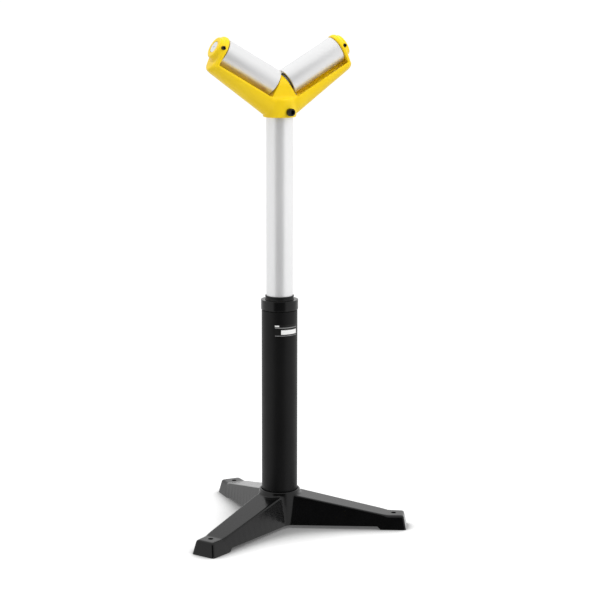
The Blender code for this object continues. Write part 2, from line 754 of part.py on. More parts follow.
def axle_screw_frame(side):
    """An axle set screw's frame in the head, Z pointing out at the front."""
    middle = Matrix.Translation((0, 0, EAR_INNER + AXLE_SCREW_TO_FACE))
    about = Matrix.Rotation(side * (math.pi / 2 - AXLE_SCREW_TILT), 4, "Z")
    return roller_frame(side) @ middle @ about @ Matrix.Rotation(math.pi / 2, 4, "Y")


def clamp_mesh():
    """The socket-head screw that clamps the head to the inner column."""
    tip = MAST_RADIUS + FIT_GAP
    under = HEAD_HUB_RADIUS + CLAMP_STANDOFF
    top = under + CLAMP_HEAD_LENGTH
    depth = CLAMP_HEAD_LENGTH / 2
    return lofted([
        circle(CLAMP_RADIUS, tip), circle(CLAMP_RADIUS, under),
        circle(CLAMP_HEAD_RADIUS, under), circle(CLAMP_HEAD_RADIUS, top),
        hexagon(CLAMP_HEX, top), hexagon(CLAMP_HEX, top - depth),
    ])


def build_head(head_seat):
    """The casting and its screws."""
    part("head_casting", head_mesh(), YELLOW_PAINT, head_seat)
    part("head_clamp_screw", clamp_mesh(), BLACK_STEEL, head_seat, clamp_frame())
    for word, side in SIDES.items():
        tip = AXLE_RADIUS + FIT_GAP
        screw = socket_screw(
            SET_SCREW_RADIUS, tip, EAR_RADIUS - FIT_GAP, SET_SCREW_HEX, SET_SCREW_HEX_DEPTH,
        )
        part(f"{word}_axle_set_screw", screw, BLACK_STEEL, head_seat, axle_screw_frame(side))


# Rollers
def axle_mesh():
    """The stepped axle, from its journal in the web to the flush end in the ear's boss."""
    shoulder = WEB_FACE + FIT_GAP
    return turned([
        (0, WEB_FACE - JOURNAL_LENGTH), (JOURNAL_RADIUS, WEB_FACE - JOURNAL_LENGTH),
        (JOURNAL_RADIUS, shoulder), (AXLE_RADIUS, shoulder),
        (AXLE_RADIUS, BOSS_END - AXLE_CHAMFER), (AXLE_RADIUS - AXLE_CHAMFER, BOSS_END),
        (0, BOSS_END),
    ], BEARING_SIDES)


def roller_mesh():
    """The roller's tube, bored wider at both ends for the bearings."""
    seat = BEARING_RADIUS
    bore = seat - ROLLER_STEP
    depth = BEARING_RECESS + BEARING_WIDTH + FIT_GAP
    edge = ROLLER_RADIUS - ROLLER_CHAMFER
    return turned([
        (seat, ROLLER_START), (edge, ROLLER_START), (ROLLER_RADIUS, ROLLER_START + ROLLER_CHAMFER),
        (ROLLER_RADIUS, ROLLER_END - ROLLER_CHAMFER), (edge, ROLLER_END), (seat, ROLLER_END),
        (seat, ROLLER_END - depth), (bore, ROLLER_END - depth),
        (bore, ROLLER_START + depth), (seat, ROLLER_START + depth),
    ])


def race_outline(wall, shoulder, turn):
    """Outline of a bearing ring from its wall to its shoulder, with the ball groove."""
    groove = BALL_RADIUS + FIT_GAP
    reach = abs(BALL_PITCH - shoulder)
    half_angle = math.acos(reach / groove)
    half = BEARING_WIDTH / 2
    start, end = turn + half_angle, turn - half_angle
    round_part = arc(BALL_PITCH, 0, groove, start, end, GROOVE_STEPS)
    if turn == 0:
        round_part.reverse()
    return [(wall, -half), (shoulder, -half), *round_part, (shoulder, half), (wall, half)]


def cage_mesh():
    """The cage with its balls, on the bearing's middle plane."""
    half = CAGE_THICKNESS / 2
    low = -CAGE_WIDTH / 2
    mesh = tube(BALL_PITCH + half, BALL_PITCH - half, low, -low, 0, BEARING_SIDES)
    balls = bmesh.new()
    for n in range(BALL_COUNT):
        turn = Matrix.Rotation(math.tau * n / BALL_COUNT, 4, "Z")
        place = turn @ Matrix.Translation((BALL_PITCH, 0, 0))
        bmesh.ops.create_uvsphere(
            balls, u_segments=BALL_SIDES, v_segments=BALL_RINGS, radius=BALL_RADIUS, matrix=place,
        )
    return union(mesh, finished(balls))


def build_bearing(word, axis, middle, outward):
    """One ball bearing, its shield on the outward side."""
    place = Matrix.Translation((0, 0, middle))
    inner = turned(race_outline(AXLE_BORE, INNER_SHOULDER, math.pi), BEARING_SIDES)
    outer_wall = BEARING_RADIUS - FIT_GAP
    outer = turned(race_outline(outer_wall, OUTER_SHOULDER, 0), BEARING_SIDES)
    part(f"{word}_inner_race", inner, BRIGHT_STEEL, axis, place)
    part(f"{word}_outer_race", outer, BRIGHT_STEEL, axis, place)
    part(f"{word}_ball_cage", cage_mesh(), BRIGHT_STEEL, axis, place)
    face = outward * (BEARING_WIDTH / 2 - SHIELD_RECESS)
    low, high = sorted((face, face - outward * SHIELD_THICKNESS))
    shield = tube(
        OUTER_SHOULDER - FIT_GAP, INNER_SHOULDER + FIT_GAP, low, high, 0, BEARING_SIDES,
    )
    part(f"{word}_shield", shield, BLACK_PLASTIC, axis, place)


def build_roller(word, side, head_seat):
    """One roller on its axle, with a bearing at each end."""
    axis = frame(f"{word}_roller_axis", head_seat, roller_frame(side))
    part(f"{word}_axle", axle_mesh(), BRIGHT_STEEL, axis)
    part(f"{word}_roller", roller_mesh(), SATIN_STEEL, axis)
    to_middle = BEARING_RECESS + BEARING_WIDTH / 2
    build_bearing(f"{word}_inner_bearing", axis, ROLLER_START + to_middle, -1)
    build_bearing(f"{word}_outer_bearing", axis, ROLLER_END - to_middle, 1)
    bearing_start = ROLLER_START + BEARING_RECESS
    bearing_end = ROLLER_END - BEARING_RECESS
    for place, low, high in (
        ("inner", WEB_FACE + FIT_GAP, bearing_start - FIT_GAP),
        ("outer", bearing_end + FIT_GAP, EAR_INNER - FIT_GAP),
    ):
        spacer = tube(AXLE_BORE + SPACER_WALL, AXLE_BORE, low, high, 0, BEARING_SIDES)
        part(f"{word}_{place}_spacer", spacer, BRIGHT_STEEL, axis)


for leftover in list(bpy.data.objects):
    bpy.data.objects.remove(leftover)

IRON = material("black_iron", (0.02, 0.02, 0.022), 0.35, 0)
BLACK_PAINT = material("black_paint", (0.018, 0.018, 0.02), 0.25, 0)
BLACK_PLASTIC = material("black_plastic", (0.015, 0.015, 0.016), 0.45, 0)
BLACK_STEEL = material("black_steel", (0.03, 0.03, 0.032), 0.4, 1)
BRIGHT_STEEL = material("bright_steel", (0.8, 0.8, 0.8), 0.25, 1)
SATIN_STEEL = material("satin_steel", (0.85, 0.85, 0.85), 0.35, 1)
YELLOW_PAINT = material("yellow_paint", (0.85, 0.58, 0.02), 0.3, 0)
BRASS = material("brass", (0.75, 0.55, 0.2), 0.35, 1)

COLUMN_AXIS = frame("column_axis", None, Matrix.Translation((0, -footprint_middle(), 0)))
HEAD_SEAT = frame("head_seat", COLUMN_AXIS, Matrix.Translation((0, 0, HEAD_HEIGHT)))
build_base(COLUMN_AXIS)
build_column(COLUMN_AXIS)
build_lock(COLUMN_AXIS)
build_mast(COLUMN_AXIS)
build_head(HEAD_SEAT)
for name, direction in SIDES.items():
    build_roller(name, direction, HEAD_SEAT)
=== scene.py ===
"""Looks of the roller stand: smooth cast, turned and drawn forms in place of the faceted ones,
their finishes, a pale studio and the photograph's camera. Metres, +Z up, in the part's frame."""
import json
import math

import bmesh
import bpy
import numpy as np
from mathutils import Matrix, Vector


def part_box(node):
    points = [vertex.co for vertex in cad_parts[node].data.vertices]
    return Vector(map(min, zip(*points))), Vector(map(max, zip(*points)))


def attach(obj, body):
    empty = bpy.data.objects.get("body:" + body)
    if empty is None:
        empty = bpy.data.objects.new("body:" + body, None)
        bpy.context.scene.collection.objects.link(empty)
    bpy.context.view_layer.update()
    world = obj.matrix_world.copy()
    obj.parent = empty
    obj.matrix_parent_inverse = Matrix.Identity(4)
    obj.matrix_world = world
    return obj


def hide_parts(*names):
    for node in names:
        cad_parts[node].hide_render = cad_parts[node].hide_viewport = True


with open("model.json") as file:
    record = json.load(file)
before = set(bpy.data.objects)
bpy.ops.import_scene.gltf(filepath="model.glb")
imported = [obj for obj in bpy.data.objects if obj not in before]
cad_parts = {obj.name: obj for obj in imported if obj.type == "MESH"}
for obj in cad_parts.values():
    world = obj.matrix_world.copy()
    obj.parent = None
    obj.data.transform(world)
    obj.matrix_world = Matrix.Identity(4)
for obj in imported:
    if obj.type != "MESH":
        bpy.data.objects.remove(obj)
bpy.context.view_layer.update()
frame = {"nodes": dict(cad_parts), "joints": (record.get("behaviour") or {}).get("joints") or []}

MM = 0.001
DEG = math.pi / 180
FIT_GAP = 0.3 * MM
OVERRUN = 5 * MM
WELD = 0.001 * MM

# Fineness of the forms
TURNED_SIDES = 144
SMALL_SIDES = 48
RACE_SIDES = 72
KNOB_SIDES = 120
ROUND_STEPS = 5
BLEND_STEPS = 8
ARCH_STEPS = 24
LEG_STEPS = 12
LABEL_STEPS = 48
THREAD_STEPS = 8
SMOOTH_ANGLE = 32 * DEG
CORNER_SHARE = 0.45
RELAX_SHARE = 0.5
HEAD_VOXEL = 1 * MM
HEAD_SOFTENING = 5
BASE_VOXEL = 1.2 * MM
BASE_SOFTENING = 9

# Tripod base
LEG_COUNT = 3
FIRST_LEG_ANGLE = -30 * DEG
FOOT_END = 274 * MM
FOOT_END_DRAFT = 6 * MM
PAD_LENGTH = 52.5 * MM
PAD_HEIGHT = 7 * MM
PAD_LEAN = 7 * MM
TOE_LENGTH = 40 * MM
TOE_HEIGHT = 30 * MM
TOE_WIDTH = 47 * MM
TOE_END_WIDTH = 43 * MM
LEG_ROOT_HEIGHT = 70 * MM
LEG_ROOT_WIDTH = 59 * MM
LEG_SPREAD = 6.5 * MM
LEG_WALL = 7 * MM
LEG_ROUND = 4.2 * MM
LEG_BLEND_REACH = 9 * MM
LEG_BLEND_DROP = 4 * MM
LEG_BLEND_ROUNDS = 24
BOLT_TO_END = 28 * MM
BOLT_HOLE_RADIUS = 5.5 * MM
HUB_WALL = 5.7 * MM
HUB_DRAFT = 1 * MM
HUB_ROUND = 1.5 * MM
SOCKET_FLOOR = 9 * MM
SOCKET_CHAMFER = 2 * MM
DRAIN_RADIUS = 10 * MM
BASE_SCREW_ANGLES = {"right": 30 * DEG, "left": 150 * DEG}

# Outer column with its collar, bush and label
COLUMN_ROUND = 0.8 * MM
COLLAR_CHAMFER = 1 * MM
SEAM_HEIGHT = 1.4 * MM
SEAM_DEPTH = 1.5 * MM
NOSE_LIP = 2.6 * MM
NOSE_GROOVE = 0.5 * MM
NOSE_STEP = 1 * MM
BUSH_ROUND = 0.7 * MM
LABEL_HALF_ANGLE = 40.7 * DEG
LABEL_MIDDLE = 431.5 * MM
LABEL_HEIGHT = 24.8 * MM
LABEL_GAP = 0.03 * MM
LABEL_LIFT = 0.12 * MM

# Lock screw
THREAD_PITCH = 1.5 * MM
THREAD_DEPTH = 0.5 * MM
KNOB_LOBES = 5
KNOB_SCALLOP = 2.6 * MM
KNOB_ROUND = 2.5 * MM
KNOB_BOSS_RADIUS = 10 * MM
KNOB_BOSS_LENGTH = 6 * MM
KNOB_DISH = ((0.62, 0), (0.5, 1 * MM), (0.05, 1.2 * MM))

# Head casting
HEAD_HUB_RADIUS = 35 * MM
HEAD_HUB_HEIGHT = 40 * MM
HEAD_HUB_ROUND = 2 * MM
HEAD_SOCKET_DEPTH = 36 * MM
HEAD_BLEND_REACH = 8 * MM
HEAD_BLEND_FOOT = 9 * MM
HEAD_BLEND_TOP = HEAD_HUB_HEIGHT + 6 * MM
HEAD_BLEND_FADE = 5 * MM
HEAD_BLEND_SIDE = 20 * MM
HEAD_BLEND_ROUNDS = 60
ARM_WIDTH = 58 * MM
ARM_WALL = 7 * MM
ARM_FLOOR = 8 * MM
ARM_ROOT_HEIGHT = 4.1 * MM
ARM_UNDER_ANGLE = 36.7 * DEG
ARM_END_ROUND = 16 * MM
ARM_LOW_ROUND = 3 * MM
ARM_END_STEP = 4.5 * MM
RIM_DROP = 31 * MM
EAR_RADIUS = 30 * MM
EAR_THICKNESS = 14 * MM
EAR_GAP = 1.5 * MM
EAR_ROUND = 8 * MM
EAR_EDGE = 1.5 * MM
EAR_LEAN = 6.5 * MM
EAR_BASE_WIDTH = 50 * MM
EAR_FOOT = RIM_DROP + ARM_FLOOR
EAR_BLEND_START = 3 * MM
EAR_BLEND_FADE = 5 * MM
EAR_BLEND_ROUNDS = 8
BOSS_RADIUS = 23.7 * MM
BOSS_FOOT_RADIUS = 27.5 * MM
BOSS_HEIGHT = 5 * MM
BOSS_ROUND = 3 * MM
WEB_RADIUS = 25 * MM
WEB_BASE_WIDTH = 54 * MM
WEB_GAP = 4 * MM
SET_SCREW_HOLE = 4.3 * MM
CLAMP_HOLE = 5.3 * MM

# Rollers, axles, bearings and screws
ROLLER_ROUND = 0.6 * MM
ROLLER_STEP = 1.2 * MM
BEARING_DEPTH = 14.3 * MM
JOURNAL_RADIUS = 7 * MM
JOURNAL_LENGTH = 8.3 * MM
AXLE_CHAMFER = 1 * MM
CENTRE_MARK = ((3 * MM, 0), (1.5 * MM, 2 * MM), (0, 2.2 * MM))
SHOULDER_DEPTH = 0.7 * MM
BALL_RADIUS = 3.3 * MM
SHIELD_ROUND = 0.2 * MM
EDGE_ROUND = 0.4 * MM
SET_SCREW_ROUND = 1 * MM
SET_SCREW_SOCKET = 2.3 * MM
SET_SCREW_SOCKET_DEPTH = 3 * MM
CLAMP_ANGLE = -81 * DEG
CLAMP_SHANK = 5 * MM
CLAMP_HEAD_LENGTH = 12 * MM
CAP_EDGE = 1 * MM
CAP_SOCKET = 4.6 * MM
KNURL_RIDGES = 36
KNURL_DEPTH = 0.25 * MM

# Camera, from the fit to the photograph
CAMERA_AZIMUTH = -24.95 * DEG
CAMERA_DISTANCE = 3741.6 * MM
CAMERA_HEIGHT = 1193.1 * MM
CAMERA_TILT = 10.1 * DEG
FOCAL_PIXELS = 1797.65
CENTRE_X_PIXEL = 279.56
CENTRE_Y_PIXEL = 283.41
PICTURE_PIXELS = 600
SENSOR = 36

# Studio. A lamp has a place, a target, a side length and a power
LAMPS = {
    "key": ((0.9, -1.6, 2.6), (0, 0, 0.6), 1.6, 30),
    "top": ((-0.6, 0.6, 2.8), (0, 0, 0.3), 2, 26),
}
WHITE = (1, 1, 1, 1)
FLOOR_REACH = 60
FLOOR_GAP = 0.2 * MM
FLOOR_TONE = 0.82
SHADED_TONE = 0.3
FLOOR_GLOW = 0.85
SHADOW_GLOW = 0.1
SHADOW_REACH = 0.15
SHADOW_FULL = 0.61
SHADOW_NONE = 0.94
SKY_LIGHT = 0.66
DARK_INNER = 26 * DEG
DARK_OUTER = 46 * DEG
DARK_TONE = 0.06
LEVEL_INNER = 20 * DEG
LEVEL_OUTER = 45 * DEG
BELOW_TONE = 0.92

SIDES = {"left": -1, "right": 1}
JOINTS = {joint["name"]: joint for joint in frame["joints"]}


# Places
def on_axis(height=0):
    """A frame on the column's axis at this height."""
    low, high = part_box("outer_column")
    middle = (low + high) / 2
    return Matrix.Translation((middle.x, middle.y, height))


def outwards(angle):
    """A turn that lays Z level, pointing outwards at this angle."""
    return Matrix.Rotation(angle, 4, "Z") @ Matrix.Rotation(math.pi / 2, 4, "Y")


def screw_frame(name, angle):
    """The frame of a screw in a hub, its Z pointing out at this angle."""
    low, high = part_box(name)
    return on_axis((low.z + high.z) / 2) @ outwards(angle)


def roller_frame(side):
    """A roller's frame: Z along its axis outwards, X away from the arm."""
    joint = JOINTS["left_roller_spin" if side == SIDES["left"] else "right_roller_spin"]
    along = Vector(joint["axis"]).normalized()
    off = side * along.cross(Vector((0, 1, 0)))
    turn = Matrix((off, along.cross(off), along)).transposed()
    return Matrix.Translation(joint["pos_m"]) @ turn.to_4x4()


def lock_frame():
    """The lock screw's frame: Z along its axis, away from the column."""
    joint = JOINTS["lock_knob_turn"]
    turn = Vector(joint["axis"]).to_track_quat("Z", "Y").to_matrix().to_4x4()
    return Matrix.Translation(joint["pos_m"]) @ turn


def measured(node, place):
    """Smallest and largest radius, lowest and highest place of a node about a frame's Z."""
    into = place.inverted()
    points = [into @ vert.co for vert in frame["nodes"][node].data.vertices]
    radii = [point.xy.length for point in points]
    heights = [point.z for point in points]
    return min(radii), max(radii), min(heights), max(heights)


# Measures of the solids that several forms share
AXIS = on_axis()
COLUMN_BORE, COLUMN_RADIUS, _, COLUMN_TOP = measured("outer_column", AXIS)
MAST_RADIUS = measured("inner_column", AXIS)[1]
HUB_RADIUS = COLUMN_RADIUS + FIT_GAP + HUB_WALL
TOE_START = FOOT_END - TOE_LENGTH
_, _, ROLLER_START, ROLLER_END = measured("right_roller", roller_frame(SIDES["right"]))
EAR_INNER = ROLLER_END + EAR_GAP
EAR_OUTER = EAR_INNER + EAR_THICKNESS
VERTEX_HEIGHT = JOINTS["left_roller_spin"]["pos_m"][2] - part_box("head_casting")[0].z
ROLLER_TILT = math.asin(Vector(JOINTS["right_roller_spin"]["axis"]).normalized().z)


# Shapes
def polar(radius, angle, height):
    """The point at this radius, angle and height about Z."""
    return radius * math.cos(angle), radius * math.sin(angle), height


def finished(shape):
    """The mesh of a closed bmesh, its faces pointing out."""
    bmesh.ops.remove_doubles(shape, verts=shape.verts, dist=WELD)
    wires = [edge for edge in shape.edges if not edge.link_faces]
    bmesh.ops.delete(shape, geom=wires, context="EDGES")
    bmesh.ops.recalc_face_normals(shape, faces=shape.faces)
    mesh = bpy.data.meshes.new("shape")
    shape.to_mesh(mesh)
    shape.free()
    return mesh


def arc(middle_u, middle_v, radius, start, end, steps=BLEND_STEPS):
    """Points of a round stretch of an outline, both ends included."""
    turns = [start + (end - start) * n / steps for n in range(steps + 1)]
    return [(middle_u + radius * math.cos(a), middle_v + radius * math.sin(a)) for a in turns]


def rounded(outline, radius=EDGE_ROUND):
    """A closed outline with each corner off the axis rounded."""
    points = [Vector(point) for point in outline]
    result = []
    for n, corner in enumerate(points):
        before = points[n - 1] - corner
        after = points[(n + 1) % len(points)] - corner
        if corner.x < WELD:
            result.append(tuple(corner))
            continue
        reach = min(radius, before.length * CORNER_SHARE, after.length * CORNER_SHARE)
        start = corner + before.normalized() * reach
        end = corner + after.normalized() * reach
        for step in range(ROUND_STEPS + 1):
            share = step / ROUND_STEPS
            first = start.lerp(corner, share)
            result.append(tuple(first.lerp(corner.lerp(end, share), share)))
    return result


def swept(rings):
    """The closed mesh over a closed loop of rings of points."""
    shape = bmesh.new()
    loops = [[shape.verts.new(point) for point in ring] for ring in rings]
    for near, far in zip(loops, loops[1:] + loops[:1]):
        for n in range(len(near)):
            shape.faces.new((near[n - 1], near[n], far[n], far[n - 1]))
    return finished(shape)


def turned(outline, sides=TURNED_SIDES):
    """A closed outline of (radius, height) points turned about Z."""
    turns = [math.tau * n / sides for n in range(sides)]
    return swept([[polar(radius, a, height) for radius, height in outline] for a in turns])


def ring_outline(inner, outer, low, high):
    """The four corners of a ring's section."""
    return [(inner, low), (outer, low), (outer, high), (inner, high)]


def ring_mesh(name, place, radius=EDGE_ROUND):
    """A turned ring as large as the node, its edges rounded."""
    return turned(rounded(ring_outline(*measured(name, place)), radius))


def bar_mesh(radius, low, high, edge=EDGE_ROUND):
    """A turned bar, its edges rounded."""
    return turned(rounded(ring_outline(0, radius, low, high), edge), SMALL_SIDES)


def loft_shape(rings):
    """A bmesh skinned over rings of points, with both ends capped."""
    shape = bmesh.new()
    loops = [[shape.verts.new(point) for point in ring] for ring in rings]
    for low, high in zip(loops, loops[1:]):
        for n in range(len(low)):
            shape.faces.new((low[n - 1], low[n], high[n], high[n - 1]))
    shape.faces.new(loops[0])
    shape.faces.new(loops[-1])
    return shape


def lofted(rings):
    """The closed mesh skinned over rings of points."""
    return finished(loft_shape(rings))


def circle(radius, height, sides=SMALL_SIDES):
    """A ring of points round Z."""
    return [polar(radius, math.tau * n / sides, height) for n in range(sides)]


def rod(radius, low, high, sides=SMALL_SIDES):
    """A plain round bar, as a tool for a hole or a part of a casting."""
    return lofted([circle(radius, low, sides), circle(radius, high, sides)])


def hex_bar(half_flats, low, high):
    """A hexagonal bar along Z."""
    return rod(half_flats / math.cos(math.pi / 6), low, high, 6)


def rounded_edges(shape, wanted, radius):
    """Rounds the edges of a bmesh that the test picks."""
    picked = [edge for edge in shape.edges if wanted(edge)]
    bmesh.ops.bevel(
        shape, geom=picked, offset=radius, offset_type="OFFSET", segments=ROUND_STEPS,
        profile=0.5, affect="EDGES", clamp_overlap=True,
    )


def added(name, data):
    """An object of the scene with this data."""
    made = bpy.data.objects.new(name, data)
    bpy.context.scene.collection.objects.link(made)
    return made


def evaluated(body):
    """The mesh of an object after its modifiers, the object itself removed."""
    graph = bpy.context.evaluated_depsgraph_get()
    graph.update()
    result = bpy.data.meshes.new_from_object(body.evaluated_get(graph))
    bpy.data.objects.remove(body)
    return result


def joined(mesh, other, operation, place=None):
    """The mesh after a Boolean with the other one, which stands at the given place."""
    body = added("body", mesh)
    tool = added("tool", other)
    tool.matrix_world = place or Matrix()
    modifier = body.modifiers.new(operation, "BOOLEAN")
    modifier.operation = operation
    modifier.solver = "MANIFOLD"
    modifier.object = tool
    result = evaluated(body)
    bpy.data.objects.remove(tool)
    return result


def union(mesh, other, place=None):
    """Both meshes as one body."""
    return joined(mesh, other, "UNION", place)


def cut(mesh, other, place=None):
    """The mesh less the other one."""
    return joined(mesh, other, "DIFFERENCE", place)


def cast(mesh, voxel, rounds):
    """The even, soft-edged skin that sand casting gives a sharp form."""
    body = added("body", mesh)
    modifier = body.modifiers.new("skin", "REMESH")
    modifier.mode = "VOXEL"
    modifier.voxel_size = voxel
    result = evaluated(body)
    relax(result, rounds)
    return result


def relax(mesh, rounds, weigh=None):
    """Moves each point towards the middle of its neighbours, by its weight, again and again."""
    count = len(mesh.vertices)
    points = np.empty(count * 3)
    mesh.vertices.foreach_get("co", points)
    points = points.reshape(-1, 3)
    ends = np.empty(len(mesh.edges) * 2, np.int32)
    mesh.edges.foreach_get("vertices", ends)
    near, far = ends.reshape(-1, 2).T
    degree = np.bincount(near, minlength=count) + np.bincount(far, minlength=count)
    share = RELAX_SHARE * (np.ones(count) if weigh is None else weigh(points))
    for _ in range(rounds):
        for axis in range(3):
            values = points[:, axis]
            total = np.bincount(near, values[far], count) + np.bincount(far, values[near], count)
            points[:, axis] = values + share * (total / degree - values)
    mesh.vertices.foreach_set("co", points.ravel())
    mesh.update()


def piece(name, mesh, finish, body, place, way=None):
    """A piece that rides on its body. One with a way of making replaces the node it dresses."""
    mesh.materials.clear()
    mesh.materials.append(finish)
    mesh.shade_smooth()
    mesh.set_sharp_from_angle(angle=SMOOTH_ANGLE)
    made = added(f"{name}_{way}" if way else name, mesh)
    made.matrix_world = place
    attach(made, body)
    if way:
        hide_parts(name)


def node(tree, kind, inputs, **settings):
    """A shader node with its inputs set or linked."""
    made = tree.nodes.new(kind)
    for name, value in settings.items():
        setattr(made, name, value)
    for name, value in inputs.items():
        if isinstance(value, bpy.types.NodeSocket):
            tree.links.new(value, made.inputs[name])
        else:
            made.inputs[name].default_value = value
    return made


def grain(tree, scale, detail=3, stretch=(1, 1, 1)):
    """Noise in the piece's own frame, from 0 to 1, finer along the stretched directions."""
    place = node(tree, "ShaderNodeTexCoord", {}).outputs["Object"]
    scaled = node(tree, "ShaderNodeMapping", {"Vector": place, "Scale": stretch})
    inputs = {"Vector": scaled.outputs["Vector"], "Scale": scale, "Detail": detail}
    return node(tree, "ShaderNodeTexNoise", inputs).outputs["Fac"]


def ranged(tree, value, low, high, start=0.3, end=0.7, kind="LINEAR"):
    """The value mapped from its usual range to another one."""
    inputs = {"Value": value, "From Min": start, "From Max": end, "To Min": low, "To Max": high}
    return node(tree, "ShaderNodeMapRange", inputs, interpolation_type=kind).outputs["Result"]


def cloudy(tree, scale, low=0, high=1):
    """A value that drifts between two others, in clouds of this fineness."""
    return ranged(tree, grain(tree, scale), low, high)


def eased(tree, value, low, high, start, end):
    """The value mapped smoothly to another range."""
    return ranged(tree, value, low, high, start, end, "SMOOTHSTEP")


def counted(tree, operation, *values):
    """The result of an operation on one or two values."""
    return node(tree, "ShaderNodeMath", dict(enumerate(values)), operation=operation).outputs[0]


def mixed(tree, share, first, second):
    """A colour between two colours."""
    made = node(tree, "ShaderNodeMix", {}, data_type="RGBA")
    for index, value in ((0, share), (6, first), (7, second)):
        if isinstance(value, bpy.types.NodeSocket):
            tree.links.new(value, made.inputs[index])
        else:
            made.inputs[index].default_value = (*value, 1)
    return made.outputs[2]


def edge_wear(tree, start, end):
    """How far a point lies on an outer edge, broken up by noise."""
    pointed = node(tree, "ShaderNodeNewGeometry", {}).outputs["Pointiness"]
    edge = ranged(tree, pointed, 0, 1, start, end)
    patchy = ranged(tree, grain(tree, 160), 0, 1, 0.42, 0.62)
    return counted(tree, "MULTIPLY", edge, patchy)


def bumped(tree, height, distance, strength=1.0, normal=None):
    """A normal that follows the height."""
    inputs = {"Height": height, "Distance": distance, "Strength": strength}
    if normal:
        inputs["Normal"] = normal
    return node(tree, "ShaderNodeBump", inputs).outputs["Normal"]


def surface(name, settings, build):
    """A material with one main shader, whose inputs come from the settings and the builder."""
    made = bpy.data.materials.new(name)
    made.use_nodes = True
    shader = made.node_tree.nodes["Principled BSDF"]
    for key, value in settings.items():
        shader.inputs[key].default_value = value
    for key, socket in build(made.node_tree).items():
        made.node_tree.links.new(socket, shader.inputs[key])
    return made


def yellow_build(tree):
    """Powder coat on a casting: soft dimples, faint clouds and paler worn edges."""
    paint = mixed(tree, cloudy(tree, 18), (0.94, 0.64, 0.004), (0.97, 0.69, 0.012))
    wear = edge_wear(tree, 0.56, 0.68)
    dimples = bumped(tree, grain(tree, 420, 2), 0.05 * MM, 0.2)
    return {
        "Base Color": mixed(tree, wear, paint, (0.98, 0.78, 0.12)),
        "Roughness": cloudy(tree, 60, 0.28, 0.38),
        "Normal": bumped(tree, grain(tree, 1500, 3), 0.02 * MM, 0.25, dimples),
    }


def iron_build(tree):
    """Glossy black paint over cast iron: a faintly pebbled skin, clouds and rubbed edges."""
    paint = mixed(tree, cloudy(tree, 25), (0.0014, 0.0014, 0.0015), (0.0028, 0.0028, 0.003))
    wear = edge_wear(tree, 0.56, 0.7)
    pebbles = bumped(tree, grain(tree, 400, 3), 0.06 * MM, 0.25)
    return {
        "Base Color": mixed(tree, wear, paint, (0.03, 0.03, 0.03)),
        "Roughness": cloudy(tree, 60, 0.13, 0.2),
        "Normal": bumped(tree, grain(tree, 1800, 2), 0.01 * MM, 0.25, pebbles),
    }


def paint_build(low, high):
    """Black paint on steel, its roughness between two values."""
    def build(tree):
        """Faint clouds, orange peel and a little rubbing at the edges."""
        clouds = ranged(tree, grain(tree, 20, 3, (1, 1, 0.3)), 0, 1)
        paint = mixed(tree, clouds, (0.0035, 0.0035, 0.0037), (0.006, 0.006, 0.0062))
        return {
            "Base Color": mixed(tree, edge_wear(tree, 0.58, 0.72), paint, (0.04, 0.04, 0.04)),
            "Roughness": cloudy(tree, 40, low, high),
            "Normal": bumped(tree, grain(tree, 500, 2), 0.015 * MM, 0.2),
        }
    return build


def plastic_build(tree):
    """Moulded black plastic with a fine etched grain."""
    tone = mixed(tree, cloudy(tree, 60), (0.008, 0.008, 0.0085), (0.014, 0.014, 0.0145))
    return {
        "Base Color": tone,
        "Roughness": cloudy(tree, 150, 0.42, 0.56),
        "Normal": bumped(tree, grain(tree, 3000, 3), 0.03 * MM, 0.4),
    }


def dark_steel_build(tree):
    """Blackened screw steel, oily and a little brown on its edges."""
    steel = mixed(tree, cloudy(tree, 220), (0.012, 0.012, 0.013), (0.028, 0.027, 0.026))
    return {
        "Base Color": mixed(tree, edge_wear(tree, 0.55, 0.68), steel, (0.12, 0.11, 0.1)),
        "Roughness": cloudy(tree, 500, 0.28, 0.42),
        "Normal": bumped(tree, grain(tree, 1800, 2), 0.02 * MM, 0.3),
    }


def worked(tree, lines, marks, low, high):
    """Tone and roughness of bare metal, from its fine lines and broad marks."""
    fine = ranged(tree, lines, -0.02, 0.02)
    return {
        "Base Color": mixed(tree, ranged(tree, marks, 0, 1), low[0], high[0]),
        "Roughness": counted(tree, "ADD", ranged(tree, marks, low[1], high[1]), fine),
    }


def drawn_build(tree):
    """Plated drawn tube: fine lines along its length and faint smears."""
    lines = grain(tree, 900, 3, (1, 1, 0.004))
    smears = grain(tree, 14, 4, (1, 1, 0.35))
    metal = worked(tree, lines, smears, ((0.86, 0.865, 0.87), 0.34), ((0.91, 0.91, 0.915), 0.4))
    return {**metal, "Normal": bumped(tree, lines, 0.003 * MM, 0.2)}


def lathed_build(tree):
    """Turned steel: fine rings round the axis and faint rolling marks."""
    rings = grain(tree, 1, 4, (4, 4, 2600))
    marks = grain(tree, 26, 4, (1, 1, 0.25))
    metal = worked(tree, rings, marks, ((0.82, 0.822, 0.825), 0.42), ((0.87, 0.87, 0.872), 0.5))
    return {**metal, "Normal": bumped(tree, rings, 0.004 * MM, 0.25)}


def brass_build(tree):
    """Sawn brass, slightly tarnished."""
    return {
        "Base Color": mixed(tree, cloudy(tree, 300), (0.62, 0.4, 0.13), (0.78, 0.56, 0.24)),
        "Roughness": cloudy(tree, 700, 0.28, 0.42),
    }


def print_build(pale, dark):
    """A printed film in one tone, a little uneven."""
    def build(tree):
        """Two close tones and a faint waviness."""
        return {
            "Base Color": mixed(tree, cloudy(tree, 90), dark, pale),
            "Roughness": cloudy(tree, 130, 0.3, 0.42),
        }
    return build


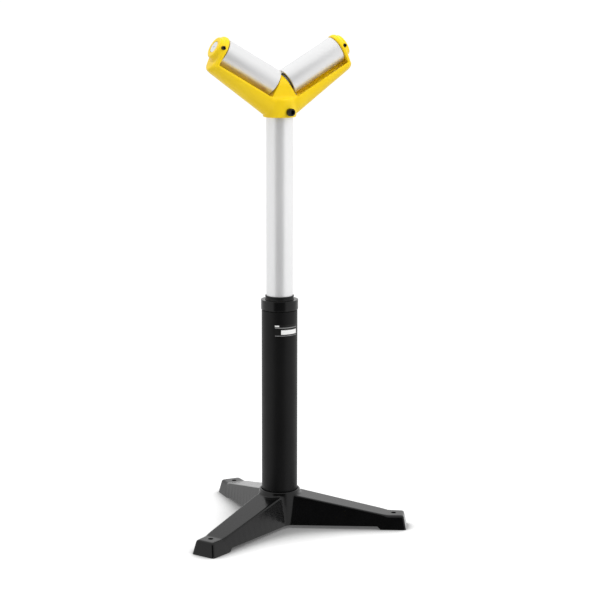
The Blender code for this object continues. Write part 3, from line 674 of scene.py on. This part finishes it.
METAL = {"Metallic": 1.0}
SATIN = {"Metallic": 0.75}
PLATED = {"Metallic": 0.46}
SOFT = {"Specular IOR Level": 0.3}
DULL = {"Specular IOR Level": 0.22}
YELLOW = surface("yellow_coat", {"Specular IOR Level": 0.25}, yellow_build)
IRON = surface("cast_iron_black", {"IOR": 1.38}, iron_build)
PAINT = surface("tube_black", {"IOR": 1.28}, paint_build(0.42, 0.48))
GLOSS = surface("collar_black", {"IOR": 1.36}, paint_build(0.16, 0.22))
PLASTIC = surface("moulded_black", SOFT, plastic_build)
DARK_STEEL = surface("screw_black", {"Metallic": 0.7}, dark_steel_build)
DRAWN = surface("drawn_steel", PLATED, drawn_build)
LATHED = surface("lathed_steel", SATIN, lathed_build)
BRASS = surface("sawn_brass", METAL, brass_build)
BRIGHT = surface("bearing_steel", METAL, lathed_build)
FILM = surface("label_black", DULL,
               print_build((0.012, 0.012, 0.012), (0.007, 0.007, 0.007)))
FIELD = surface("label_white", SOFT,
                print_build((0.93, 0.93, 0.92), (0.86, 0.86, 0.85)))
RULE = surface("label_grey", SOFT,
               print_build((0.3, 0.3, 0.3), (0.2, 0.2, 0.2)))


# Tripod base
def leg_top(radius):
    """Height of a leg's top face at this distance from the column's axis."""
    slope = (LEG_ROOT_HEIGHT - TOE_HEIGHT) / (TOE_START - HUB_RADIUS)
    return TOE_HEIGHT + max(0, TOE_START - radius) * slope


def leg_half_width(radius, height):
    """Half the leg's width at this distance and height. It spreads towards the floor."""
    if radius < TOE_START:
        share = (TOE_START - radius) / (TOE_START - HUB_RADIUS)
        width = TOE_WIDTH + (LEG_ROOT_WIDTH - TOE_WIDTH) * share
    else:
        share = (radius - TOE_START) / TOE_LENGTH
        width = TOE_WIDTH + (TOE_END_WIDTH - TOE_WIDTH) * share
    return width / 2 + LEG_SPREAD * (1 - height / leg_top(radius))


def leg_ring(low_radius, top_radius, low, top, inset=0):
    """Four corners of a leg's section."""
    low_half = leg_half_width(low_radius, low) - inset
    top_half = leg_half_width(top_radius, top) - inset
    return [
        (low_radius, -low_half, low), (low_radius, low_half, low),
        (top_radius, top_half, top), (top_radius, -top_half, top),
    ]


def leg_mesh():
    """One tapered leg to below the floor, its upper edges softly rounded."""
    start = HUB_RADIUS / 2
    top_end = FOOT_END - FOOT_END_DRAFT
    low_end = FOOT_END + FOOT_END_DRAFT * OVERRUN / TOE_HEIGHT
    radii = [start + (TOE_START - start) * step / LEG_STEPS for step in range(LEG_STEPS + 1)]
    rings = [leg_ring(radius, radius, -OVERRUN, leg_top(radius)) for radius in radii]
    rings.append(leg_ring(low_end, top_end, -OVERRUN, leg_top(top_end)))
    shape = loft_shape(rings)

    def upper(edge):
        """The long upper edges, the toe's upper edge and its two standing edges."""
        radii = [vert.co.x for vert in edge.verts]
        heights = [vert.co.z for vert in edge.verts]
        along = abs(radii[0] - radii[1]) > PAD_HEIGHT and min(heights) > 0
        at_toe = min(radii) > TOE_START + FOOT_END_DRAFT and max(heights) > 0
        return along or at_toe

    rounded_edges(shape, upper, LEG_ROUND)
    return finished(shape)


def leg_pocket():
    """The hollow under one leg, between its walls, the hub and the solid foot."""
    start = HUB_RADIUS + LEG_WALL / 2
    end = FOOT_END - PAD_LENGTH - PAD_LEAN - LEG_WALL
    return lofted([
        leg_ring(radius, radius, -OVERRUN, leg_top(radius) - LEG_WALL, LEG_WALL)
        for radius in (start, end)
    ])


def base_mesh():
    """The cast tripod with its machined socket and drilled feet."""
    top = measured("base_casting", AXIS)[3]
    pad_start = FOOT_END - PAD_LENGTH
    lean = PAD_LEAN / PAD_HEIGHT
    mesh = turned([
        (0, -OVERRUN), (HUB_RADIUS + HUB_DRAFT, -OVERRUN),
        *arc(HUB_RADIUS - HUB_ROUND, top - HUB_ROUND, HUB_ROUND, 0, math.pi / 2), (0, top),
    ])
    turns = [
        Matrix.Rotation(FIRST_LEG_ANGLE + math.tau * leg / LEG_COUNT, 4, "Z")
        for leg in range(LEG_COUNT)
    ]
    for turn in turns:
        mesh = union(mesh, leg_mesh(), turn)
    mesh = cast(mesh, BASE_VOXEL, BASE_SOFTENING)

    def near_hub(points):
        """Full weight where the legs run into the hub, none elsewhere."""
        reach = np.hypot(points[:, 0], points[:, 1])
        beside = np.clip(1 - abs(reach - HUB_RADIUS) / LEG_BLEND_REACH, 0, 1)
        return beside * (points[:, 2] < top - LEG_BLEND_DROP)

    relax(mesh, LEG_BLEND_ROUNDS, near_hub)
    mesh = cut(mesh, turned([
        (0, -2 * OVERRUN), (pad_start + 2 * OVERRUN * lean, -2 * OVERRUN),
        (pad_start - PAD_LEAN, PAD_HEIGHT), (0, PAD_HEIGHT),
    ]))
    mesh = cut(mesh, rod(FOOT_END + 2 * OVERRUN, -2 * OVERRUN, 0))
    for turn in turns:
        mesh = cut(mesh, leg_pocket(), turn)
    socket = COLUMN_RADIUS + FIT_GAP
    floor = PAD_HEIGHT + SOCKET_FLOOR
    mesh = cut(mesh, turned([
        (0, 0), (DRAIN_RADIUS, 0), (DRAIN_RADIUS, floor), (socket, floor),
        (socket, top - SOCKET_CHAMFER),
        (socket + SOCKET_CHAMFER + OVERRUN, top + OVERRUN), (0, top + OVERRUN),
    ]))
    for turn in turns:
        bolt = turn @ Matrix.Translation((FOOT_END - BOLT_TO_END, 0, 0))
        mesh = cut(mesh, rod(BOLT_HOLE_RADIUS, -OVERRUN, TOE_HEIGHT + OVERRUN), bolt)
    for word, angle in BASE_SCREW_ANGLES.items():
        place = AXIS.inverted() @ screw_frame(f"column_set_screw_{word}", angle)
        mesh = cut(mesh, rod(SET_SCREW_HOLE, socket - MM, HUB_RADIUS + OVERRUN), place)
    return mesh


def build_set_screw(name, body, place):
    """A headless screw with a hexagon socket, about its frame's Z."""
    _, radius, low, high = measured(name, place)
    bar = bar_mesh(radius, low, high, SET_SCREW_ROUND)
    socket = hex_bar(SET_SCREW_SOCKET, high - SET_SCREW_SOCKET_DEPTH, high + MM)
    piece(name, cut(bar, socket), DARK_STEEL, body, place, "turned")


def build_base():
    """The casting and the screws that hold the column."""
    piece("base_casting", base_mesh(), IRON, "base", AXIS, "cast")
    for word, angle in BASE_SCREW_ANGLES.items():
        name = f"column_set_screw_{word}"
        build_set_screw(name, "base", screw_frame(name, angle))


# Columns
def build_label():
    """A blank label: a dark film with two plain rules, a pale field and a small pale mark."""
    foot = LABEL_MIDDLE - LABEL_HEIGHT / 2
    film = COLUMN_RADIUS + LABEL_GAP
    over = film + LABEL_LIFT
    # Name, half width and middle as shares of the half angle, foot and top of the height
    for name, width, middle, low, high, radius, finish in (
        ("label_film", 1, 0, 0, 1, film, FILM),
        ("label_top_rule", 0.97, 0, 0.71, 0.78, over, RULE),
        ("label_low_rule", 0.97, 0, 0.04, 0.09, over, RULE),
        ("label_field", 0.73, 0.24, 0.18, 0.56, over, FIELD),
        ("label_mark", 0.17, -0.81, 0.84, 0.97, over, FIELD),
    ):
        section = ring_outline(
            radius, radius + LABEL_LIFT, foot + low * LABEL_HEIGHT, foot + high * LABEL_HEIGHT,
        )
        rings = []
        for step in range(LABEL_STEPS + 1):
            share = middle + width * (2 * step / LABEL_STEPS - 1)
            angle = LABEL_HALF_ANGLE * share - math.pi / 2
            rings.append([polar(reach, angle, height) for reach, height in section])
        piece(name, lofted(rings), finish, "base", AXIS)


def lock_hole(mesh, radius):
    """The mesh on the column's axis with the lock screw's hole through one wall."""
    place = AXIS.inverted() @ lock_frame()
    start = measured("inner_column", AXIS)[0]
    end = measured("column_collar", AXIS)[1] + OVERRUN
    return cut(mesh, rod(radius, start, end), place)


def build_columns():
    """Outer column, collar, bush, label, inner column and its rings."""
    tube = ring_mesh("outer_column", AXIS, COLUMN_ROUND)
    piece("outer_column", tube, PAINT, "base", AXIS, "drawn")
    build_label()

    bore, rim, bottom, top = measured("column_collar", AXIS)
    spigot = COLUMN_BORE - FIT_GAP
    seat = COLUMN_TOP + FIT_GAP
    neck = COLUMN_RADIUS - SEAM_DEPTH
    collar = turned(rounded([
        (bore, bottom), (spigot, bottom), (spigot, seat), (neck, seat),
        (neck, seat + SEAM_HEIGHT), (rim, seat + SEAM_HEIGHT), (rim, top), (bore, top),
    ], COLLAR_CHAMFER))
    stud = measured("lock_stud", lock_frame())[1]
    collar = lock_hole(collar, stud + FIT_GAP)
    piece("column_collar", collar, GLOSS, "base", AXIS, "turned")

    low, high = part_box("guide_bush")
    hole = MAST_RADIUS + FIT_GAP
    wall = bore - FIT_GAP
    flange = bottom - FIT_GAP
    step = top + NOSE_STEP
    bush = turned(rounded([
        (hole, low.z), (spigot, low.z), (spigot, flange), (wall, flange),
        (wall, step), (wall - NOSE_GROOVE, step + NOSE_GROOVE),
        (wall - NOSE_GROOVE, high.z - NOSE_LIP - NOSE_GROOVE), (wall, high.z - NOSE_LIP),
        (wall, high.z), (hole, high.z),
    ], BUSH_ROUND))
    pad = measured("lock_pad", lock_frame())[1]
    bush = lock_hole(bush, pad + FIT_GAP)
    piece("guide_bush", bush, PLASTIC, "base", AXIS, "moulded")

    for name, finish, body in (
        ("inner_column", DRAWN, "mast"), ("retaining_ring", DARK_STEEL, "mast"),
        ("stop_ring", DARK_STEEL, "mast"), ("lower_guide_ring", PLASTIC, "slide_guide"),
    ):
        piece(name, ring_mesh(name, AXIS), finish, body, AXIS, "turned")


# Lock screw
def threaded(radius, low, high):
    """A rod with a helical thread, its crests at the given radius."""
    steps = round((high - low) / THREAD_PITCH * THREAD_STEPS)
    rings = []
    for step in range(steps + 1):
        height = low + (high - low) * step / steps
        ring = []
        for n in range(SMALL_SIDES):
            turn = n / SMALL_SIDES
            phase = ((height - low) / THREAD_PITCH - turn) % 1
            depth = THREAD_DEPTH * abs(2 * phase - 1)
            if step in (0, steps):
                depth = THREAD_DEPTH
            ring.append(polar(radius - depth, math.tau * turn, height))
        rings.append(ring)
    return lofted(rings)


def knob_mesh(bore, radius, start, end):
    """A lobed hand knob on a round boss, with a blind bore."""
    body = start + KNOB_BOSS_LENGTH
    rings = [circle(reach, height, KNOB_SIDES) for reach, height in (
        (bore, body + KNOB_BOSS_LENGTH), (bore, start), (KNOB_BOSS_RADIUS - EDGE_ROUND, start),
        (KNOB_BOSS_RADIUS, start + EDGE_ROUND), (KNOB_BOSS_RADIUS, body),
    )]
    low = arc(radius - KNOB_ROUND, body + KNOB_ROUND, KNOB_ROUND, -math.pi / 2, 0)
    high = arc(radius - KNOB_ROUND, end - KNOB_ROUND, KNOB_ROUND, 0, math.pi / 2)
    dish = [(radius * share, end - depth) for share, depth in KNOB_DISH]
    for reach, height in (*low, *high, *dish):
        share = (reach / radius) ** 3
        ring = []
        for n in range(KNOB_SIDES):
            angle = math.tau * n / KNOB_SIDES
            lobe = KNOB_SCALLOP * (1 - math.cos(KNOB_LOBES * angle)) / 2 * share
            ring.append(polar(reach - lobe, angle, height))
        rings.append(ring)
    return lofted(rings)


def build_lock():
    """The lock screw: brass pad, threaded stud and hand knob."""
    place = lock_frame()
    _, radius, low, high = measured("lock_pad", place)
    piece("lock_pad", bar_mesh(radius, low, high), BRASS, "lock_tip", place, "turned")
    _, radius, low, high = measured("lock_stud", place)
    stud = threaded(radius, low, high)
    piece("lock_stud", stud, BRIGHT, "lock_screw", place, "threaded")
    knob = knob_mesh(*measured("lock_knob", place))
    piece("lock_knob", knob, PLASTIC, "lock_screw", place, "moulded")


# Head casting
def v_direction(along, off, side):
    """A direction in the plane of the V, from its shares along and off one roller's axis."""
    x = along * math.cos(ROLLER_TILT) - off * math.sin(ROLLER_TILT)
    z = along * math.sin(ROLLER_TILT) + off * math.cos(ROLLER_TILT)
    return Vector((side * x, 0, z))


def v_point(along, off, side, y=0):
    """A point of the head, from its place along and off one roller's axis."""
    return Vector((0, y, VERTEX_HEIGHT)) + v_direction(along, off, side)


def under_height(x):
    """Height of the arms' underside at this distance from the column's axis."""
    return ARM_ROOT_HEIGHT + (x - HEAD_HUB_RADIUS) * math.tan(ARM_UNDER_ANGLE)


def under_end(along, lift):
    """Where a face square to the roller's axis meets the lifted underside."""
    top = v_point(along, -RIM_DROP, 1)
    down = v_direction(0, -1, 1)
    above = top.z - under_height(top.x) - lift
    return top + down * (above / (down.x * math.tan(ARM_UNDER_ANGLE) - down.z))


def rim_point(x):
    """The point of the arms' upper rim at this distance from the column's axis."""
    start = v_point(0, -RIM_DROP, 1)
    along = v_direction(1, 0, 1)
    return start + along * ((x - start.x) / along.x)


def trough_ring(top, bottom, half, side):
    """A section of an arm between two points of its middle plane, the half of an ellipse."""
    ring = []
    for across, lift in arc(0, 1, 1, math.pi, math.tau, ARCH_STEPS):
        point = bottom + (top - bottom) * lift
        ring.append(Vector((side * point.x, across * half, point.z)))
    return ring


def arm_mesh(side):
    """One solid arm with a round underside and a rounded end."""
    half = ARM_WIDTH / 2
    end = EAR_OUTER - ARM_END_STEP
    foot = HEAD_HUB_RADIUS - ARM_ROOT_HEIGHT / math.tan(ARM_UNDER_ANGLE)
    rings = [trough_ring(rim_point(x), Vector((x, 0, 0)), half, side) for x in (0, foot)]
    for along, inset in arc(end - ARM_END_ROUND, ARM_END_ROUND, ARM_END_ROUND, -math.pi / 2, 0):
        bottom = under_end(along, inset * ARM_LOW_ROUND / ARM_END_ROUND)
        rings.append(trough_ring(v_point(along, -RIM_DROP, 1), bottom, half - inset, side))
    return lofted(rings)


def trough_mesh(side):
    """The hollow of one arm, open upwards under the roller."""
    half = ARM_WIDTH / 2 - ARM_WALL
    lift = ARM_FLOOR / math.cos(ARM_UNDER_ANGLE)
    inner = MAST_RADIUS + ARM_WALL * 3 / 2
    above = Vector((0, 0, OVERRUN))
    inner_bottom = Vector((inner, 0, under_height(inner) + lift))
    end_top = v_point(EAR_INNER, -RIM_DROP, 1)
    return lofted([
        trough_ring(rim_point(inner) + above, inner_bottom, half, side),
        trough_ring(end_top + above, under_end(EAR_INNER, lift), half, side),
    ])


def arch(radius, foot_half, foot):
    """An outline with a half-round top about zero and sides that flare to its foot."""
    top = arc(0, 0, radius, 0, math.pi, ARCH_STEPS)
    return [(foot_half, foot), *top, (-foot_half, foot)]


def ear_mesh(side):
    """The upright at an arm's end that carries the axle, its outer face leaning in below."""
    places = [(EAR_INNER, EAR_EDGE), (EAR_INNER + EAR_EDGE, 0)]
    places += arc(EAR_OUTER - EAR_ROUND, EAR_ROUND, EAR_ROUND, -math.pi / 2, 0)
    rings = []
    for along, inset in places:
        outline = arch(EAR_RADIUS - inset, EAR_BASE_WIDTH / 2 - inset, -EAR_FOOT)
        slope = EAR_LEAN * (along - EAR_INNER) / EAR_THICKNESS / (EAR_RADIUS + EAR_FOOT)
        rings.append([
            v_point(along - slope * (EAR_RADIUS - off), off, side, y) for y, off in outline
        ])
    return lofted(rings)


def boss_mesh():
    """The raised boss on an ear's outer face, turned about the roller's axis."""
    foot = EAR_OUTER - EAR_LEAN
    start = foot - BOSS_HEIGHT
    end = EAR_OUTER + BOSS_HEIGHT
    rim = arc(BOSS_RADIUS - BOSS_ROUND, end - BOSS_ROUND, BOSS_ROUND, 0, math.pi / 2)
    return turned([
        (0, start), (BOSS_FOOT_RADIUS, start), (BOSS_FOOT_RADIUS, foot),
        (BOSS_RADIUS, EAR_OUTER), *rim, (0, end),
    ])


def web_mesh():
    """The wedge between the rollers that carries their inner axle ends."""
    foot = HEAD_HUB_HEIGHT - ARM_FLOOR - VERTEX_HEIGHT
    half = HEAD_HUB_RADIUS + ARM_WALL
    outline = arch(WEB_RADIUS, WEB_BASE_WIDTH / 2, foot)
    shape = loft_shape([
        [Vector((x, y, VERTEX_HEIGHT + off)) for y, off in outline] for x in (-half, half)
    ])
    for side in SIDES.values():
        face = v_point(ROLLER_START - WEB_GAP, 0, side)
        sliced = bmesh.ops.bisect_plane(
            shape, geom=shape.verts[:] + shape.edges[:] + shape.faces[:], plane_co=face,
            plane_no=face - v_point(0, 0, side), clear_outer=True,
        )
        rim = [item for item in sliced["geom_cut"] if isinstance(item, bmesh.types.BMEdge)]
        bmesh.ops.edgeloop_fill(shape, edges=rim)
    return finished(shape)


def head_mesh(place):
    """The cast V head with its machined seats."""
    flat = HEAD_HUB_RADIUS - HEAD_HUB_ROUND
    low_edge = arc(flat, HEAD_HUB_ROUND, HEAD_HUB_ROUND, -math.pi / 2, 0)
    top_edge = arc(flat, HEAD_HUB_HEIGHT - HEAD_HUB_ROUND, HEAD_HUB_ROUND, 0, math.pi / 2)
    mesh = turned([(0, 0), *low_edge, *top_edge, (0, HEAD_HUB_HEIGHT)])
    for side in SIDES.values():
        mesh = union(mesh, arm_mesh(side))
    mesh = union(mesh, web_mesh())
    into = place.inverted()
    for side in SIDES.values():
        mesh = union(mesh, ear_mesh(side))
        mesh = union(mesh, boss_mesh(), into @ roller_frame(side))
        mesh = cut(mesh, trough_mesh(side))
    mesh = cast(mesh, HEAD_VOXEL, HEAD_SOFTENING)

    def near_hub(points):
        """Full weight where the arms and the web run into the hub, fading out round it."""
        reach = np.hypot(points[:, 0], points[:, 1])
        beside = np.clip(1 - (reach - HEAD_HUB_RADIUS) / HEAD_BLEND_REACH, 0, 1)
        above = np.clip((points[:, 2] - HEAD_BLEND_FOOT) / HEAD_BLEND_REACH, 0, 1)
        below = np.clip((HEAD_BLEND_TOP - points[:, 2]) / HEAD_BLEND_FADE, 0, 1)
        return beside * above * below * (abs(points[:, 1]) > HEAD_BLEND_SIDE)

    relax(mesh, HEAD_BLEND_ROUNDS, near_hub)

    def on_ears(points):
        """Full weight on the ears' outer sides, none on the faces that meet the rollers."""
        rise = points[:, 2] - VERTEX_HEIGHT
        along = abs(points[:, 0]) * math.cos(ROLLER_TILT) + rise * math.sin(ROLLER_TILT)
        return np.clip((along - EAR_INNER - EAR_BLEND_START) / EAR_BLEND_FADE, 0, 1)

    relax(mesh, EAR_BLEND_ROUNDS, on_ears)
    for word, side in SIDES.items():
        axis = roller_frame(side)
        bore = measured(f"{word}_axle", axis)[1] + FIT_GAP
        seat = rod(bore, EAR_INNER - OVERRUN, EAR_OUTER + EAR_THICKNESS, TURNED_SIDES)
        mesh = cut(mesh, seat, into @ axis)
        screw = axle_screw_frame(word)
        low = measured(f"{word}_axle_set_screw", screw)[2]
        hole = rod(SET_SCREW_HOLE, low - MM, EAR_RADIUS + OVERRUN)
        mesh = cut(mesh, hole, into @ screw)
    mesh = cut(mesh, rod(MAST_RADIUS + FIT_GAP, -OVERRUN, HEAD_SOCKET_DEPTH, TURNED_SIDES))
    screw = clamp_frame()
    low = measured("head_clamp_screw", screw)[2]
    hole = rod(CLAMP_HOLE, low - MM, HEAD_HUB_RADIUS + 2 * OVERRUN)
    return cut(mesh, hole, into @ screw)


def clamp_frame():
    """The clamp screw's frame, Z pointing out at the front."""
    return screw_frame("head_clamp_screw", CLAMP_ANGLE)


def axle_screw_frame(word):
    """An axle set screw's frame, Z pointing out of the ear at the front."""
    place = roller_frame(SIDES[word])
    into = place.inverted()
    points = [into @ vert.co for vert in frame["nodes"][f"{word}_axle_set_screw"].data.vertices]
    middle = sum(points, Vector()) / len(points)
    along = Matrix.Translation((0, 0, middle.z))
    return place @ along @ outwards(math.atan2(middle.y, middle.x))


def cap_screw():
    """The clamp screw: shank, knurled head and hexagon socket."""
    _, radius, start, end = measured("head_clamp_screw", clamp_frame())
    under = end - CLAMP_HEAD_LENGTH
    sides = KNURL_RIDGES * 4
    rings = []
    for inset, height, ridged in (
        (CAP_EDGE, under, False), (0, under + CAP_EDGE, True), (0, end - 2 * CAP_EDGE, True),
        (EDGE_ROUND, end - 1.5 * CAP_EDGE, False), (EDGE_ROUND, end - CAP_EDGE, False),
        (CAP_EDGE, end, False),
    ):
        ring = []
        for n in range(sides):
            ridge = KNURL_DEPTH if ridged and n % 4 in (1, 2) else 0
            ring.append(polar(radius - inset - ridge, math.tau * n / sides, height))
        rings.append(ring)
    socket = hex_bar(CAP_SOCKET, end - CLAMP_HEAD_LENGTH / 2, end + MM)
    head = cut(lofted(rings), socket)
    return union(bar_mesh(CLAMP_SHANK, start, under + MM), head)


def build_head():
    """The casting and its screws."""
    place = on_axis(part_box("head_casting")[0].z)
    piece("head_casting", head_mesh(place), YELLOW, "mast", place, "cast")
    piece("head_clamp_screw", cap_screw(), DARK_STEEL, "mast", clamp_frame(), "turned")
    for word in SIDES:
        build_set_screw(f"{word}_axle_set_screw", "mast", axle_screw_frame(word))


# Rollers
def axle_mesh(name, place):
    """The stepped axle with a chamfered, centre-drilled end in the boss."""
    _, radius, low, high = measured(name, place)
    shoulder = low + JOURNAL_LENGTH
    step = rounded([(JOURNAL_RADIUS, low), (JOURNAL_RADIUS, shoulder), (radius, shoulder)])
    return turned([
        (0, low), *step[1:-1], (radius, high - AXLE_CHAMFER), (radius - AXLE_CHAMFER, high),
        *[(reach, high - depth) for reach, depth in CENTRE_MARK],
    ])


def roller_mesh(name, place):
    """The roller's ground tube, bored wider at both ends for its bearings."""
    bore, outer, low, high = measured(name, place)
    seat = bore + ROLLER_STEP
    start, end = low + BEARING_DEPTH, high - BEARING_DEPTH
    return turned(rounded([
        (seat, low), (outer, low), (outer, high), (seat, high), (seat, end),
        (bore, end), (bore, start), (seat, start),
    ], ROLLER_ROUND))


def race_mesh(name, place, is_outer):
    """A bearing ring with its ball groove, which faces inwards on the outer ring."""
    inner, outer, low, high = measured(name, place)
    wall, shoulder = (outer, inner) if is_outer else (inner, outer)
    side = 1 if is_outer else -1
    middle = (low + high) / 2
    centre = shoulder - side * (BALL_RADIUS - SHOULDER_DEPTH)
    groove = BALL_RADIUS + FIT_GAP
    half = math.acos(abs(shoulder - centre) / groove)
    facing = 0 if is_outer else math.pi
    outline = [(wall, low), (shoulder, low)]
    outline += arc(centre, middle, groove, facing - side * half, facing + side * half)
    outline += [(shoulder, high), (wall, high)]
    return turned(outline, RACE_SIDES)


def build_roller(word):
    """One roller with its axle, spacers and bearings."""
    place = roller_frame(SIDES[word])
    body = f"{word}_roller_body"
    axle = f"{word}_axle"
    piece(axle, axle_mesh(axle, place), BRIGHT, "mast", place, "turned")
    roller = f"{word}_roller"
    piece(roller, roller_mesh(roller, place), LATHED, body, place, "turned")
    for end in ("inner", "outer"):
        spacer = f"{word}_{end}_spacer"
        piece(spacer, ring_mesh(spacer, place), BRIGHT, "mast", place, "turned")
        bearing = f"{word}_{end}_bearing"
        for race, rider in (("inner", "mast"), ("outer", body)):
            name = f"{bearing}_{race}_race"
            ring = race_mesh(name, place, race == "outer")
            piece(name, ring, BRIGHT, rider, place, "turned")
        shield = f"{bearing}_shield"
        piece(shield, ring_mesh(shield, place, SHIELD_ROUND), PLASTIC, body, place, "pressed")
        cage = frame["nodes"][f"{bearing}_ball_cage"]
        cage.data.materials.clear()
        cage.data.materials.append(BRIGHT)


# Studio
def seen_by(tree, *kinds):
    """One for a ray of one of these kinds, else zero."""
    path = node(tree, "ShaderNodeLightPath", {})
    total = path.outputs[kinds[0]]
    for kind in kinds[1:]:
        total = counted(tree, "MAXIMUM", total, path.outputs[kind])
    return total


def blended(tree, share, first, second):
    """The first shader or, where the share is one, the second."""
    return node(tree, "ShaderNodeMixShader", {0: share, 1: first, 2: second}).outputs[0]


def by_ray(tree, light, mirrored, plain):
    """A shader for the light's own rays, one for reflections and one for what is seen."""
    unseen = blended(tree, seen_by(tree, "Is Glossy Ray"), light, mirrored)
    return blended(tree, seen_by(tree, "Is Camera Ray", "Is Transmission Ray"), unseen, plain)


def diffuse(tree, tone):
    """A matt grey."""
    return node(tree, "ShaderNodeBsdfDiffuse", {"Color": (tone, tone, tone, 1)}).outputs[0]


def build_floor():
    """A wide white floor that keeps the stand's shadow."""
    shape = bmesh.new()
    bmesh.ops.create_grid(shape, x_segments=1, y_segments=1, size=FLOOR_REACH)
    floor = added("floor", finished(shape))
    floor.location.z = -FLOOR_GAP
    made = bpy.data.materials.new("floor_white")
    made.use_nodes = True
    tree = made.node_tree
    tree.nodes.remove(tree.nodes["Principled BSDF"])
    clear = node(tree, "ShaderNodeAmbientOcclusion", {"Distance": SHADOW_REACH}).outputs["AO"]
    strength = ranged(tree, clear, SHADOW_GLOW, FLOOR_GLOW, SHADOW_FULL, SHADOW_NONE)
    glow = node(tree, "ShaderNodeEmission", {"Strength": strength}).outputs[0]
    inputs = {0: diffuse(tree, SHADED_TONE), 1: glow}
    plain = node(tree, "ShaderNodeAddShader", inputs).outputs[0]
    mirrored = node(tree, "ShaderNodeBsdfTransparent", {}).outputs[0]
    whole = by_ray(tree, diffuse(tree, FLOOR_TONE), mirrored, plain)
    tree.links.new(whole, tree.nodes["Material Output"].inputs["Surface"])
    floor.data.materials.append(made)


def studio_white(tree):
    """White all round, dark low at the studio's front and a little grey below."""
    place = node(tree, "ShaderNodeTexCoord", {}).outputs["Generated"]
    flat = node(tree, "ShaderNodeVectorMath", {0: place, 1: (1, 1, 0)}, operation="MULTIPLY")
    unit = node(tree, "ShaderNodeVectorMath", {0: flat.outputs[0]}, operation="NORMALIZE")
    towards = (math.sin(CAMERA_AZIMUTH), -math.cos(CAMERA_AZIMUTH), 0)
    dot = node(tree, "ShaderNodeVectorMath", {0: unit.outputs[0], 1: towards},
               operation="DOT_PRODUCT").outputs["Value"]
    ahead = eased(tree, dot, 0, 1 - DARK_TONE, math.cos(DARK_OUTER), math.cos(DARK_INNER))
    rise = node(tree, "ShaderNodeSeparateXYZ", {0: place}).outputs["Z"]
    near, far = math.sin(LEVEL_INNER), math.sin(LEVEL_OUTER)
    level = eased(tree, counted(tree, "ABSOLUTE", rise), 1, 0, near, far)
    light = counted(tree, "SUBTRACT", 1, counted(tree, "MULTIPLY", ahead, level))
    return counted(tree, "MULTIPLY", light, eased(tree, rise, BELOW_TONE, 1, -far, -near))


def backdrop(tree, strength):
    """A white background of this strength."""
    return node(tree, "ShaderNodeBackground", {"Color": WHITE, "Strength": strength}).outputs[0]


def build_world():
    """Soft white all round, with a dark end in reflections, dimmer as a light."""
    world = bpy.data.worlds.new("studio")
    bpy.context.scene.world = world
    world.use_nodes = True
    tree = world.node_tree
    tree.nodes.clear()
    mirrored = backdrop(tree, studio_white(tree))
    whole = by_ray(tree, backdrop(tree, SKY_LIGHT), mirrored, backdrop(tree, 1))
    node(tree, "ShaderNodeOutputWorld", {"Surface": whole}, is_active_output=True)


def build_lamp(name, place, target, size, power):
    """A square soft box that reflections don't show."""
    lamp = bpy.data.lights.new(name, "AREA")
    lamp.size = size
    lamp.energy = power
    made = added(name, lamp)
    made.location = place
    made.rotation_euler = (Vector(place) - Vector(target)).to_track_quat("Z", "Y").to_euler()
    made.visible_glossy = False


def build_camera():
    """The photograph's camera."""
    lens = bpy.data.cameras.new("camera")
    lens.sensor_width = SENSOR
    lens.lens = FOCAL_PIXELS / PICTURE_PIXELS * SENSOR
    lens.shift_x = 0.5 - CENTRE_X_PIXEL / PICTURE_PIXELS
    lens.shift_y = CENTRE_Y_PIXEL / PICTURE_PIXELS - 0.5
    made = added("camera", lens)
    reach = Matrix.Rotation(CAMERA_AZIMUTH, 4, "Z") @ Vector((0, -CAMERA_DISTANCE, CAMERA_HEIGHT))
    made.location = AXIS.translation + reach
    made.rotation_euler = (math.pi / 2 - CAMERA_TILT, 0, CAMERA_AZIMUTH)
    bpy.context.scene.camera = made


build_base()
build_columns()
build_lock()
build_head()
for side_word in SIDES:
    build_roller(side_word)
build_floor()
build_world()
for lamp_name, setting in LAMPS.items():
    build_lamp(lamp_name, *setting)
build_camera()
bpy.context.scene.view_settings.view_transform = "Standard"
